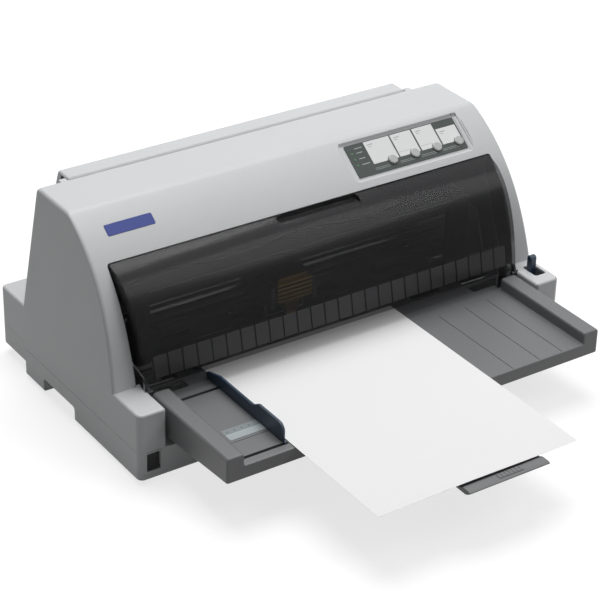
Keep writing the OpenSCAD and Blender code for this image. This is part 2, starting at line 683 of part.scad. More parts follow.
module release_lever() color(DEEP_BLUE) home() difference() {
    union() {
        rod_x(lever_x[0], lever_x[1], 5.5, lever_pivot_y, lever_pivot_z);
        slab_x(concat([[lever_pivot_y - lever_half, lever_pivot_z],
            [lever_pivot_y + lever_half, lever_pivot_z], [lever_pivot_y + lever_half, lever_top_z]],
            arc([lever_pivot_y, lever_top_z], lever_half, 0, 180, 8)), lever_x[0], lever_x[1]);
    }
    rod_x(lever_x[0] - cut, lever_x[1] + cut, lever_pin_r + run_gap, lever_pivot_y, lever_pivot_z);
}

/* ---------- frames ---------- */

frame_sheet = 1.5;
deck_z = frame_z + frame_sheet;
frame_y = [52, 213];

module base_frame() color(STEEL) home() difference() {
    box([-frame_span / 2, frame_y[0], frame_z], [frame_span / 2, frame_y[1], deck_z]);
    both_sides() for (y = boss_y) rod_z(frame_z - cut, deck_z + cut, screw_r, boss_x, y);
    for (x = [-120, -40, 40, 120]) box([x - 25, 145, frame_z - cut], [x + 25, 185, deck_z + cut]);
}

frame_side = [[frame_y[0], deck_z], [frame_y[1], deck_z], [frame_y[1], 66], [186, 80], [186, frame_lug_z],
    [92, frame_lug_z], [78, 80], [frame_y[0], 74]];

module side_frame(x) color(STEEL) home() difference() {
    slab_x(frame_side, x, x + frame_t);
    rod_x(x - cut, x + frame_t + cut, shaft_r + 2.5, platen_y, platen_z);
    for (y = [front_feed_y, rear_feed_y]) {
        rod_x(x - cut, x + frame_t + cut, shaft_r + run_gap, y, feed_z);
        rod_x(x - cut, x + frame_t + cut, pinch_shaft_r + run_gap, y, pinch_z);
    }
    rod_x(x - cut, x + frame_t + cut, rail_r, rail_y, rail_z);
}
module side_frame_left() side_frame(-frame_span / 2);
module side_frame_right() {
    difference() {
        side_frame(inner_half);
        color(STEEL) home() rod_x(inner_half - cut, inner_half + frame_t + cut, 5, pinion_at.x, pinion_at.y);
    }
    // Riveted studs of the idler gears
    color(STEEL) home() for (at = [front_idler_at, rear_idler_at])
        rod_x(frame_span / 2, gear_x + gear_w + 0.8, idler_stud_r, at.x, at.y);
}

/* ---------- gears and rollers ---------- */

pressure = 20;
module_mm = 1;
backlash = 0.12;
function inv_angle(a) = tan(a) * 180 / PI - a;
function flank_turn(base, q) = inv_angle(acos(min(1, base / q)));
// Outline of an involute gear with a tooth on the first axis
function gear_outline(teeth) = let (r = teeth * module_mm / 2, base = r * cos(pressure), tip = r + 0.9,
    root = r - 1.15, half = 90 / teeth - backlash / r * 90 / PI + inv_angle(pressure), low = max(base, root))
    [for (i = [0:teeth - 1]) let (mid = i * 360 / teeth) each concat(
        [root * [cos(mid - half), sin(mid - half)]],
        [for (k = [0:3]) let (q = low + (tip - low) * k / 3, a = mid - half + flank_turn(base, q))
            q * [cos(a), sin(a)]],
        [for (k = [3:-1:0]) let (q = low + (tip - low) * k / 3, a = mid + half - flank_turn(base, q))
            q * [cos(a), sin(a)]],
        [root * [cos(mid + half), sin(mid + half)]])];
// A gear in the gear plane, turned so that a tooth (or a gap) points at an angle
module gear_at(at, teeth, bore, turn)
    translate([gear_x, at.x, at.y]) rotate([90, 0, 90]) rotate(turn) linear_extrude(gear_w) difference() {
        polygon(gear_outline(teeth));
        circle(r = bore);
    }
// Crossing of two circles, on the right of the way from p to q
function circles_meet(p, rp, q, rq) = let (d = norm(q - p), a = (rp * rp - rq * rq + d * d) / (2 * d),
    h = sqrt(rp * rp - a * a), u = (q - p) / d) p + a * u + h * [u.y, -u.x];
function aim(p, q) = atan2(q.y - p.y, q.x - p.x);

platen_at = [platen_y, platen_z];
front_feed_at = [front_feed_y, feed_z];
rear_feed_at = [rear_feed_y, feed_z];
platen_reach = (platen_teeth + idler_teeth) / 2;
feed_gear_reach = (feed_teeth + idler_teeth) / 2;
rear_idler_at = circles_meet(platen_at, platen_reach, rear_feed_at, feed_gear_reach);
front_idler_at = circles_meet(front_feed_at, feed_gear_reach, platen_at, platen_reach);
pinion_aim = -10;
pinion_at = rear_feed_at + (feed_teeth + pinion_teeth) / 2 * [cos(pinion_aim), sin(pinion_aim)];
// Turn of a driven gear whose neighbour, with teeth_a and turn_a, stands at place a
function mesh_turn(a, teeth_a, turn_a, b, teeth_b) = let (way = aim(a, b))
    way + 180 + (180 + (way - turn_a) * teeth_a) / teeth_b;
rear_idler_turn = mesh_turn(platen_at, platen_teeth, 0, rear_idler_at, idler_teeth);
front_idler_turn = mesh_turn(platen_at, platen_teeth, 0, front_idler_at, idler_teeth);
rear_feed_turn = mesh_turn(rear_idler_at, idler_teeth, rear_idler_turn, rear_feed_at, feed_teeth);
front_feed_turn = mesh_turn(front_idler_at, idler_teeth, front_idler_turn, front_feed_at, feed_teeth);
pinion_turn = mesh_turn(rear_feed_at, feed_teeth, rear_feed_turn, pinion_at, pinion_teeth);

roller_half = inner_half - 43;
pinch_shaft_r = 2.5;
roller_x = [-128, -45, 38, 121];
roller_l = 34;
idler_stud_r = 2;

module platen_roller() color(RUBBER) home() difference() {
    rod_x(-roller_half, roller_half, platen_r, platen_y, platen_z);
    rod_x(-roller_half - cut, roller_half + cut, shaft_r, platen_y, platen_z);
}
module platen_shaft() color(STEEL) home() rod_x(-shaft_reach, gear_x + gear_w, shaft_r, platen_y, platen_z);
module platen_bushes() color(NYLON) home() both_sides() difference() {
    union() {
        rod_x(inner_half, frame_span / 2, shaft_r + 2.5, platen_y, platen_z);
        rod_x(inner_half - 2, inner_half, shaft_r + 4, platen_y, platen_z);
    }
    rod_x(inner_half - 3, frame_span / 2 + cut, shaft_r + run_gap, platen_y, platen_z);
}
module platen_gear() color(NYLON) home() gear_at(platen_at, platen_teeth, shaft_r, 0);

module idler(at, turn) home() {
    color(NYLON) gear_at(at, idler_teeth, idler_stud_r + run_gap, turn);
}
module front_idler_gear() idler(front_idler_at, front_idler_turn);
module rear_idler_gear() idler(rear_idler_at, rear_idler_turn);

module feed_shaft(y, turn) color(STEEL) home() {
    rod_x(-shaft_reach, gear_x + 0.5, shaft_r, y, feed_z);
    gear_at([y, feed_z], feed_teeth, shaft_r - 1.5, turn);
}
module feed_rollers(y) color(RUBBER) home() for (x = roller_x) difference() {
    rod_x(x - roller_l / 2, x + roller_l / 2, feed_r, y, feed_z);
    rod_x(x - roller_l, x + roller_l, shaft_r, y, feed_z);
}
module front_feed_shaft() feed_shaft(front_feed_y, front_feed_turn);
module front_feed_rollers() feed_rollers(front_feed_y);
module rear_feed_shaft() {
    feed_shaft(rear_feed_y, rear_feed_turn);
    color(STEEL) home() belt_wheel(rear_feed_y, feed_z);
}
module rear_feed_rollers() feed_rollers(rear_feed_y);

module pinch_roller(y) color([0.25, 0.25, 0.26]) home() {
    rod_x(-frame_span / 2 - 1, frame_span / 2 + 1, pinch_shaft_r, y, pinch_z);
    for (x = roller_x) rod_x(x - roller_l / 2, x + roller_l / 2, pinch_r, y, pinch_z);
}
module front_pinch_roller() pinch_roller(front_feed_y);
module rear_pinch_roller() pinch_roller(rear_feed_y);

feed_motor_r = 13.5;
module feed_motor() color([0.3, 0.31, 0.33]) home() {
    difference() {
        rod_x(inner_half - 32, inner_half, feed_motor_r, pinion_at.x, pinion_at.y);
        rod_x(inner_half - 5, inner_half + cut, 1.5 + run_gap, pinion_at.x, pinion_at.y);
    }
}
module feed_pinion() color("goldenrod") home() {
    gear_at(pinion_at, pinion_teeth, 1, pinion_turn);
    rod_x(inner_half - 4, gear_x + 1, 1.5, pinion_at.x, pinion_at.y);
}

/* ---------- paper guides ---------- */

guide_z = floor_z - 2;
guide_side_y = [186, 212];
guide_half = roller_half + 4;

module lower_paper_guide() color([0.2, 0.2, 0.21]) home() difference() {
    union() {
        box([-guide_half, block_d - 5, guide_z], [guide_half, guide_side_y[1], floor_z]);
        box([-inner_half, frame_y[0], guide_z], [inner_half, 58, floor_z]);
        box([-inner_half, guide_side_y[0], guide_z], [inner_half, guide_side_y[1], floor_z]);
    }
    box([-roller_half - 1, platen_y - 13, guide_z - cut], [roller_half + 1, platen_y + 13, floor_z + cut]);
    for (y = [front_feed_y, rear_feed_y], x = roller_x)
        box([x - roller_l / 2 - 1, y - 9, guide_z - cut], [x + roller_l / 2 + 1, y + 9, floor_z + cut]);
}

upper_guide_z = paper_z + paper_t + 1;
upper_guide_t = 1.5;
module upper_paper_guide() color([0.2, 0.2, 0.21]) home() difference() {
    slab_x([[150, upper_guide_z + 1], [156, upper_guide_z], [frame_y[1] - 4, upper_guide_z],
        [frame_y[1] - 4, upper_guide_z + upper_guide_t], [156, upper_guide_z + upper_guide_t],
        [150, upper_guide_z + upper_guide_t + 1]], -inner_half, inner_half);
    box([inner_half - 38, 140, 50], [inner_half + cut, 184, 70]);
}

/* ---------- carriage and print head ---------- */

shelf_z = 94;
belt_y = 156;
belt_r = 7.5;
belt_z = [98, 104];
belt_t = 1;
wheel_y = belt_y + belt_t / 2 + belt_r;
wheel_x = inner_half - 19;
carriage_w = 26;

module carriage_shaft() color([0.8, 0.81, 0.83]) home()
    rod_x(-frame_span / 2, frame_span / 2, rail_r, rail_y, rail_z);

module rear_rail() color(STEEL) home() difference() {
    union() {
        box([-inner_half, 150, shelf_z], [inner_half, 186, shelf_z + 1.5]);
        box([-inner_half, 184.5, shelf_z], [inner_half, 186, 116]);
    }
    both_sides() rod_z(shelf_z - cut, shelf_z + 3, 4, wheel_x, wheel_y);
}

module carriage() color([0.14, 0.14, 0.15]) home() difference() {
    union() {
        box([head_x - carriage_w, 121, 76], [head_x + carriage_w, 147, 98]);
        box([head_x - carriage_w, 147, shelf_z + 1.5 + slide_gap], [head_x + carriage_w, 153, 108]);
        box([head_x - carriage_w, 117, 76], [head_x + carriage_w, 121, 110]);
        for (s = [-1, 1]) box([head_x + s * 24 - 2, 90, 76], [head_x + s * 24 + 2, 118, 100]);
        box([head_x - 22, 104, 76], [head_x + 22, 118, 79]);
        // Clamp around the timing belt
        box([head_x - 10, 147, 104.5], [head_x + 10, belt_y + 4, 108]);
        box([head_x - 10, belt_y + 1.2, 98], [head_x + 10, belt_y + 4, 105]);
    }
    rod_x(head_x - carriage_w - cut, head_x + carriage_w + cut, rail_r + run_gap, rail_y, rail_z);
}

head_half = 17;
module print_head() color([0.75, 0.6, 0.25]) home() {
    box([head_x - head_half, 92, 79], [head_x + head_half, 117, 106]);
    for (z = [82, 86.5, 91, 95.5, 100])
        box([head_x - head_half - 3, 88, z], [head_x + head_half + 3, 116.5, z + 2.2]);
    slab_y([[head_x - 10, 79], [head_x - 3.5, 61.6], [head_x + 3.5, 61.6], [head_x + 10, 79]], 93, 103);
}

module ribbon_mask() color(STEEL) home() difference() {
    union() {
        box([head_x - 22, 88, 60.1], [head_x + 22, 108, 60.4]);
        for (s = [-1, 1]) box([head_x + s * 21.5 - 0.5, 105.2, 60.1], [head_x + s * 21.5 + 0.5, 108, 76]);
    }
    box([head_x - 3, 94, 59], [head_x + 3, 102, 61]);
}

cartridge_z = [frame_lug_z, 138];
cartridge_half = inner_half - 11;
arm_x = [inner_half - 27, inner_half - 13];

module ribbon_cartridge() color([0.09, 0.09, 0.1]) home() {
    difference() {
        union() {
            box([-cartridge_half, 104, cartridge_z[0]], [cartridge_half, 172, cartridge_z[1]]);
            // Raised wavy front wall
            slab_y(concat([[-cartridge_half, cartridge_z[0]], [cartridge_half, cartridge_z[0]]],
                [for (i = [0:32]) let (x = cartridge_half - i * cartridge_half / 16)
                    [x, cartridge_z[1] + 4 + 3.5 * cos(x * 2.4)]]), 100, 104);
            both_sides() {
                box([arm_x[0], 88, cartridge_z[0]], [arm_x[1], 105, cartridge_z[1]]);
                box([arm_x[0], 88, 62], [arm_x[1], 106, cartridge_z[0] + cut]);
            }
        }
        rod_z(cartridge_z[0] + 6, cartridge_z[1] + cut, 3 + run_gap, knob_at.x, knob_at.y);
        // Windows of the arms for the ribbon
        both_sides() box([arm_x[0] - cut, 90.5, 61], [arm_x[0] + 3, 105.5, 64]);
    }
    both_sides() box([cartridge_half - cut, 120, cartridge_z[0]], [frame_span / 2, 150, cartridge_z[0] + 4]);
}
knob_at = [cartridge_half - 52, 138];
module ribbon_knob() color(DEEP_BLUE) home() {
    rod_z(cartridge_z[0] + 7, cartridge_z[1] + 2, 3, knob_at.x, knob_at.y);
    difference() {
        rod_z(cartridge_z[1] + slide_gap, cartridge_z[1] + 9, 11, knob_at.x, knob_at.y);
        for (a = [0:30:330]) translate(11 * [cos(a), sin(a), 0])
            rod_z(cartridge_z[1], cartridge_z[1] + 10, 1.4, knob_at.x, knob_at.y);
    }
}
module ink_ribbon() color([0.05, 0.05, 0.06]) home()
    box([-arm_x[0] - 3, 91.5, 60.9], [arm_x[0] + 3, 104.5, 61.1]);

/* ---------- carriage drive ---------- */

tractor_wheel_r = 7;
tractor_belt_x = [-frame_span / 2 - 8, -frame_span / 2 - 3];
module belt_wheel(y, z) rod_x(tractor_belt_x[0], tractor_belt_x[1], tractor_wheel_r, y, z);

// Motor under the shelf, and the idler's bracket on it
module carriage_drive() color([0.3, 0.31, 0.33]) home() {
    difference() {
        rod_z(64, shelf_z, 16, -wheel_x, wheel_y);
        rod_z(80, shelf_z + cut, 2 + run_gap, -wheel_x, wheel_y);
    }
    rod_z(shelf_z - 3, belt_z[1] + 2, 2, wheel_x, wheel_y);
    rod_z(shelf_z - 3, shelf_z, 7, wheel_x, wheel_y);
}

module belt_loop(a, b, r, width) linear_extrude(width) difference() {
    hull() for (p = [a, b]) translate(p) circle(r = r + belt_t);
    hull() for (p = [a, b]) translate(p) circle(r = r);
}

// Carriage belt, and the belt from the rear feed shaft to the tractor shaft
module drive_belts() color([0.06, 0.06, 0.06]) home() {
    translate([0, 0, belt_z[0] + 0.5]) belt_loop([-wheel_x, wheel_y], [wheel_x, wheel_y], belt_r, 5);
    translate([tractor_belt_x[0] + 0.5, 0, 0]) rotate([90, 0, 90])
        belt_loop([rear_feed_y, feed_z], [tractor_y, tractor_z], tractor_wheel_r + 0.3, 4);
}

module belt_pulley(x) {
    rod_z(belt_z[0] - 0.8, belt_z[0] + 0.2, belt_r + 2, x, wheel_y);
    rod_z(belt_z[0], belt_z[1] - 0.2, belt_r - 0.3, x, wheel_y);
    rod_z(belt_z[1] - 0.2, belt_z[1] + 0.8, belt_r + 2, x, wheel_y);
}
module motor_pulley() color("goldenrod") home() {
    belt_pulley(-wheel_x);
    rod_z(82, belt_z[1] + 3, 2, -wheel_x, wheel_y);
}
module idler_pulley() color(NYLON) home() difference() {
    belt_pulley(wheel_x);
    rod_z(belt_z[0] - 2, belt_z[1] + 2, 2 + run_gap, wheel_x, wheel_y);
}

/* ---------- tractors ---------- */

tractor_y = 233;
tractor_pitch = 26;
tractor_z = 47.5;
tractor_w = 22;
left_tractor_x = -channel_half + 23;
right_tractor_x = channel_half - 105;

module tractor_drive_shaft() color(STEEL) home() {
    rod_x(-shaft_reach, channel_half + wall + 1, shaft_r, tractor_y, tractor_z);
    belt_wheel(tractor_y, tractor_z);
}
module tractor_support_shaft() color(STEEL) home()
    rod_x(-channel_half - wall, channel_half + wall, shaft_r, tractor_y + tractor_pitch, tractor_z);

module tractor(x) color([0.2, 0.21, 0.22]) home() {
    difference() {
        box([x, tractor_y - 8, tractor_z - 10],
            [x + tractor_w, tractor_y + tractor_pitch + 8, floor_z - 0.5]);
        for (y = [tractor_y, tractor_y + tractor_pitch])
            rod_x(x - cut, x + tractor_w + cut, shaft_r + run_gap, y, tractor_z);
    }
    for (i = [0:3]) rod_z(floor_z - cut, floor_z + 3, 1.6, x + tractor_w / 2, tractor_y - 4 + i * 12.7 * 0.8);
}
module left_tractor() tractor(left_tractor_x);
module right_tractor() tractor(right_tractor_x);

/* ---------- electronics ---------- */

board_half = half_w - 61;
board_y = [150, case_d - 6.5];
board_t = 1.6;

module circuit_boards() color([0.1, 0.4, 0.22]) home() {
    panel_board();
    // Power board with its transformer and capacitors
    difference() {
        box([-board_half, board_y[0], board_z], [-58, board_y[1], board_z + board_t]);
        box([-board_half - cut, case_d - 34.5, board_z - cut],
            [inlet_x[1] + 1.5, board_y[1] + cut, board_z + 3]);
    }
    // Main board with its larger chips
    box([28, board_y[0], board_z], [board_half, board_y[1], board_z + board_t]);
    box([60, 190, board_z + board_t], [88, 218, board_z + 4.6]);
    box([110, 190, board_z + board_t], [126, 224, board_z + 4.6]);
    box([-140, 165, board_z + board_t], [-105, 200, board_z + 11]);
}

inlet_mid = (inlet_x[0] + inlet_x[1]) / 2;
module rear_connectors() color(BLACK) home() {
    difference() {
        box([inlet_x[0] + 0.3, case_d - 24, inlet_z[0] + 0.3], [inlet_x[1] - 0.3, case_d, inlet_z[1]]);
        box([inlet_x[0] + 3, case_d - 18, inlet_z[0] + 3], [inlet_x[1] - 3, case_d + cut, inlet_z[1] - 3]);
    }
    for (i = [-1:1]) translate([inlet_mid + i * 7, case_d - 19, 21.8 - abs(i) * 2])
        translate([-1, 0, 0]) cube([2, 14, 3.2]);
    difference() {
        box([parallel_x[0] + 0.4, case_d - 14, board_z + board_t], [parallel_x[1] - 0.4, case_d, 25]);
        box([parallel_x[0] + 3, case_d - 7, 17], [parallel_x[1] - 3, case_d + cut, 22.5]);
    }
    difference() {
        box([usb_x[0] + 0.4, case_d - 14, board_z + board_t], [usb_x[1] - 0.4, case_d, 25]);
        box([usb_x[0] + 2, case_d - 8, 16.6], [usb_x[1] - 2, case_d + cut, 23.4]);
    }
}

module screws() color(STEEL) home() both_sides() for (y = boss_y) {
    rod_z(foot_h + floor_t + 6, deck_z, screw_r - 0.02, boss_x, y);
    difference() {
        rod_z(deck_z, deck_z + 2, 4, boss_x, y);
        box([boss_x - 2.6, y - 0.5, deck_z + 1], [boss_x + 2.6, y + 0.5, deck_z + 3]);
    }
}

lower_case();
upper_housing();
corner_blocks();
rear_housing();
front_cover();
rear_cover();
hinge_pins();
front_tray();
scale_strip();
edge_guide();
tray_extension();
paper_sheet();
badge_plate();
panel_overlay();
feed_button();
pause_button();
font_button();
tear_off_button();
power_switch_body();
power_rocker();
release_lever();
base_frame();
side_frame_left();
side_frame_right();
platen_roller();
platen_shaft();
platen_bushes();
platen_gear();
front_idler_gear();
rear_idler_gear();
front_feed_shaft();
front_feed_rollers();
rear_feed_shaft();
rear_feed_rollers();
front_pinch_roller();
rear_pinch_roller();
feed_motor();
feed_pinion();
lower_paper_guide();
upper_paper_guide();
carriage_shaft();
rear_rail();
carriage();
print_head();
ribbon_mask();
ribbon_cartridge();
ribbon_knob();
ink_ribbon();
carriage_drive();
motor_pulley();
idler_pulley();
drive_belts();
tractor_drive_shaft();
tractor_support_shaft();
left_tractor();
right_tractor();
circuit_boards();
rear_connectors();
rubber_feet();
screws();
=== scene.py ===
"""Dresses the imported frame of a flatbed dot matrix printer.

Sizes are in millimetres in the case frame: X to the right, Y to the back with Y = 0 at the corner
blocks' front faces, and Z up from the table. Shell.object() moves every point to the row frame.
"""

import logging
import math
from dataclasses import dataclass, field
from enum import Enum
from typing import Callable, Optional, Sequence, Union

import bmesh
import bpy
import numpy as np
from mathutils import Matrix, Vector


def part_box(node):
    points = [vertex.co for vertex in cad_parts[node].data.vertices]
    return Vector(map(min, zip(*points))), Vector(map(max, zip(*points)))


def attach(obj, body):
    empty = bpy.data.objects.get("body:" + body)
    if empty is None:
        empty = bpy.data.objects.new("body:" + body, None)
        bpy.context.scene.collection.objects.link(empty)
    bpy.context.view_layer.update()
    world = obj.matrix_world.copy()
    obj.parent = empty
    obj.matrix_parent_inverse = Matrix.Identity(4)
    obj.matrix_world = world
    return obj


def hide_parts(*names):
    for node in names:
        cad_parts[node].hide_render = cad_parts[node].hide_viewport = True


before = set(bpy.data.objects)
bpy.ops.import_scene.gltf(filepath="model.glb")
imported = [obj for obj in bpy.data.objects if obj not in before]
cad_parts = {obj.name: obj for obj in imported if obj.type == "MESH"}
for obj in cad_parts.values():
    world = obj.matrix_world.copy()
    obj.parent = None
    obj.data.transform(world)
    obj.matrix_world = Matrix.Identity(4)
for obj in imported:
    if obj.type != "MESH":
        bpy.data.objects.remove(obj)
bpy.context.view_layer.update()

LOG = logging.getLogger("printer")
Array = np.ndarray
Colour = tuple[float, float, float]
MM = 0.001
HOME_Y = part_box("corner_blocks")[0].y / MM

# Limits that keep the outline formulas away from a division by zero
NO_LENGTH = 1e-12
SHARPEST_HALF_ANGLE = 1e-3
STRAIGHTEST_TURN = 1e-6
MITRE_LIMIT = 0.2
# Least amount in millimetres by which a block's corner radius exceeds its edge radius
CORNER_MARGIN = 0.2
# Points nearer than these, in metres, are one
CUT_WELD = 2e-6
NODE_WELD = 1e-5


# ---------- outlines ----------


def unit(vectors: Array) -> Array:
    """Scales each row of vectors to length one."""
    return vectors / np.maximum(np.linalg.norm(vectors, axis=-1, keepdims=True), NO_LENGTH)


def rounded(corners: Sequence, radii: Union[float, Sequence[float]], steps: int = 5) -> Array:
    """Closed outline with an arc in each corner.

    With unit directions a and b from a corner to its neighbours, the arc's centre lies on their bisector at
    radius / sin(half the angle), and the arc turns from one tangent point to the other by spherical blending.

    Args:
        corners: the corners, one row each.
        radii: one radius for all corners or one each; 0 keeps a corner's single point.
        steps: segments of each arc.
    Returns:
        The outline's points, one row each.
    """
    p = np.asarray(corners, float)
    r = np.broadcast_to(np.asarray(radii, float), len(p))
    a, b = unit(np.roll(p, 1, 0) - p), unit(np.roll(p, -1, 0) - p)
    half = np.maximum(np.arccos(np.clip((a * b).sum(1), -1, 1)) / 2, SHARPEST_HALF_ANGLE)
    centre = p + unit(a + b) * (r / np.sin(half))[:, None]
    reach = (r / np.tan(half))[:, None]
    first, last = p + a * reach - centre, p + b * reach - centre
    turn = np.maximum(math.pi - 2 * half, STRAIGHTEST_TURN)[:, None, None]
    t = np.linspace(0, 1, steps + 1)[None, :, None]
    arcs = (np.sin((1 - t) * turn) * first[:, None] + np.sin(t * turn) * last[:, None]) / np.sin(turn)
    arcs = arcs + centre[:, None]
    arcs[r == 0] = p[r == 0][:, None]
    return arcs[(r[:, None] > 0) | (np.arange(steps + 1)[None] == 0)]


def rectangle(x0: float, x1: float, y0: float, y1: float) -> list[tuple[float, float]]:
    """The four corners of a rectangle, counter-clockwise."""
    return [(x0, y0), (x1, y0), (x1, y1), (x0, y1)]


def centred(width: float, height: float) -> list[tuple[float, float]]:
    """The four corners of a rectangle about the origin."""
    return rectangle(-width / 2, width / 2, -height / 2, height / 2)


def disc(x: float, y: float, radius: float, steps: int = 48) -> Array:
    """A circle as an outline: centre plus radius times cosine and sine of a full turn."""
    angle = np.linspace(0, 2 * math.pi, steps, endpoint=False)
    return np.stack([x + radius * np.cos(angle), y + radius * np.sin(angle)], 1)


def inset(outline: Array, depth: float) -> Array:
    """Moves a counter-clockwise outline inwards: each point goes along the mitre of its edges' normals.

    Args:
        outline: the points, one row each.
        depth: the distance; negative moves outwards.
    Returns:
        The moved points.
    """
    if depth == 0:
        return outline
    before, after = unit(outline - np.roll(outline, 1, 0)), unit(np.roll(outline, -1, 0) - outline)
    a = np.stack([-before[:, 1], before[:, 0]], 1)
    b = np.stack([-after[:, 1], after[:, 0]], 1)
    return outline + depth * (a + b) / np.maximum(1 + (a * b).sum(1), MITRE_LIMIT)[:, None]


def leftward(outline: Array) -> Array:
    """Turns an outline so that it runs counter-clockwise, by the sign of its shoelace area.

    Args:
        outline: the points, one row each.
    Returns:
        The points in counter-clockwise order.
    """
    x, y = outline[:, 0], outline[:, 1]
    area = (x * np.roll(y, -1) - y * np.roll(x, -1)).sum()
    return outline if area > 0 else outline[::-1]


@dataclass(frozen=True)
class Cubic:
    """A cubic curve in Y and Z with four control points, from its foot to its head."""

    foot: tuple[float, float]
    foot_control: tuple[float, float]
    head_control: tuple[float, float]
    head: tuple[float, float]
    probe: float = 0.005

    def at(self, t: Array) -> Array:
        """The sum of the control points, weighted with the four cubic Bernstein terms of t.

        Args:
            t: places from 0 at the foot to 1 at the head.
        Returns:
            The curve's Y and Z at each place.
        """
        t = np.asarray(t, float)[..., None]
        points = [np.asarray(p) for p in (self.foot, self.foot_control, self.head_control, self.head)]
        weights = [(1 - t) ** 3, 3 * (1 - t) ** 2 * t, 3 * (1 - t) * t**2, t**3]
        return sum(w * p for w, p in zip(weights, points))

    def direction(self, t: Array) -> Array:
        """Unit direction towards the head, by a central difference."""
        t = np.asarray(t, float)
        return unit(self.at(t + self.probe) - self.at(t - self.probe))

    def inside(self, t: Array, depth: float) -> Array:
        """The curve moved by depth along its normal, into the case."""
        way = self.direction(t)
        return self.at(t) + depth * np.stack([way[..., 1], -way[..., 0]], -1)


@dataclass(frozen=True)
class Slope:
    """A flat frame tangent to a curve: X, then v up the slope, then w out of the surface."""

    curve: Cubic
    t: float
    read_from: float = 0.2
    reads: int = 400

    def place(self, points: Array) -> Array:
        """Turns rows of X, v and w into case coordinates: v runs along the tangent and w along the normal.

        Args:
            points: rows of X, v and w.
        Returns:
            Rows of X, Y and Z.
        """
        origin, way = self.curve.at(np.array(self.t)), self.curve.direction(np.array(self.t))
        x, v, w = np.asarray(points, float).T
        return np.stack([x, origin[0] + v * way[0] - w * way[1], origin[1] + v * way[1] + w * way[0]], 1)

    def height(self, v: Array) -> Array:
        """The curved surface's own w over each v, read off the curve in this frame.

        Args:
            v: distances up the slope.
        Returns:
            The surface's w over each distance.
        """
        origin, way = self.curve.at(np.array(self.t)), self.curve.direction(np.array(self.t))
        line = self.curve.at(np.linspace(self.read_from, 1, self.reads)) - origin
        return np.interp(v, line @ way, line @ np.array([-way[1], way[0]]))


# ---------- solids ----------


class Along(Enum):
    """The axis that an outline is carried along, and the columns of its two coordinates."""

    X = (0, 1, 2)
    Y = (1, 0, 2)
    Z = (2, 0, 1)

    def lift(self, outline: Array, height: Array) -> Array:
        """Puts an outline's two columns and its height into case coordinates.

        Args:
            outline: the points, one row of two coordinates each.
            height: the third coordinate, one value or one for each point.
        Returns:
            Rows of X, Y and Z.
        """
        points = np.empty((len(outline), 3))
        points[:, self.value[0]] = height
        points[:, self.value[1]], points[:, self.value[2]] = outline[:, 0], outline[:, 1]
        return points


@dataclass(frozen=True)
class Shell:
    """A closed surface: points, four-cornered faces and the caps at its ends."""

    points: Array
    quads: Array
    caps: tuple[Array, ...]

    def __add__(self, other: "Shell") -> "Shell":
        """Both surfaces as one.

        Args:
            other: the second surface.
        Returns:
            Both surfaces as one.
        """
        shift = len(self.points)
        return Shell(
            np.vstack([self.points, other.points]),
            np.vstack([self.quads, other.quads + shift]),
            self.caps + tuple(cap + shift for cap in other.caps),
        )

    def volume(self) -> float:
        """Signed volume: a sixth of the triple products of all faces, fanned out from their first corners.

        Returns:
            The volume, negative where the faces look inwards.
        """
        fans = [np.stack([np.full(len(c) - 2, c[0]), c[1:-1], c[2:]], 1) for c in self.caps]
        triangles = np.vstack([self.quads[:, [0, 1, 2]], self.quads[:, [0, 2, 3]], *fans])
        a, b, c = (self.points[triangles[:, i]] for i in range(3))
        return float((a * np.cross(b, c)).sum() / 6)

    def outward(self) -> "Shell":
        """The same surface with its faces pointing out.

        Returns:
            The surface with every face looking out.
        """
        if self.volume() > 0:
            return self
        return Shell(self.points, self.quads[:, ::-1], tuple(cap[::-1] for cap in self.caps))

    def mapped(self, change: Callable[[Array], Array]) -> "Shell":
        """The surface with all its points changed at once."""
        return Shell(change(self.points), self.quads, self.caps).outward()

    def shifted(self, x: float, y: float = 0.0, z: float = 0.0) -> "Shell":
        """The surface moved along the three axes."""
        return self.mapped(lambda points: points + (x, y, z))

    def mirrored(self) -> "Shell":
        """The surface on the case's other side, X turned to minus X."""
        return self.mapped(lambda points: points * (-1, 1, 1))

    def both_sides(self) -> "Shell":
        """The surface and its mirror image."""
        return self + self.mirrored()

    def copies(self, shifts: Array) -> "Shell":
        """One copy for each row of shifts, all worked out at once.

        Args:
            shifts: the moves, one row of X, Y and Z each.
        Returns:
            All copies as one surface.
        """
        count, size = len(shifts), len(self.points)
        points = (self.points[None] + np.asarray(shifts, float)[:, None]).reshape(-1, 3)
        step = np.arange(count)[:, None, None] * size
        quads = (self.quads[None] + step).reshape(-1, 4)
        caps = tuple(cap + i * size for i in range(count) for cap in self.caps)
        return Shell(points, quads, caps)

    def object(self, name: str) -> bpy.types.Object:
        """A Blender object whose mesh holds the points in metres in the row frame.

        Args:
            name: the new piece's name.
        Returns:
            The piece, placed in the frame.
        """
        mesh = bpy.data.meshes.new(name)
        points = (self.points + (0, HOME_Y, 0)) * MM
        mesh.from_pydata(points.tolist(), [], self.quads.tolist() + [cap.tolist() for cap in self.caps])
        obj = bpy.data.objects.new(name, mesh)
        bpy.context.scene.collection.objects.link(obj)
        return obj


def ring_stack(rings: Array) -> Shell:
    """A surface through rings of points: level by level upwards, point by point around, with capped ends.

    Args:
        rings: the rings from first to last, each with the same number of points.
    Returns:
        The closed surface.
    """
    levels, around = rings.shape[:2]
    here = np.arange(levels * around).reshape(levels, around)
    low, high = here[:-1], here[1:]
    quads = np.stack([low, np.roll(low, -1, 1), np.roll(high, -1, 1), high], -1).reshape(-1, 4)
    return Shell(rings.reshape(-1, 3), quads, (here[0][::-1], here[-1])).outward()


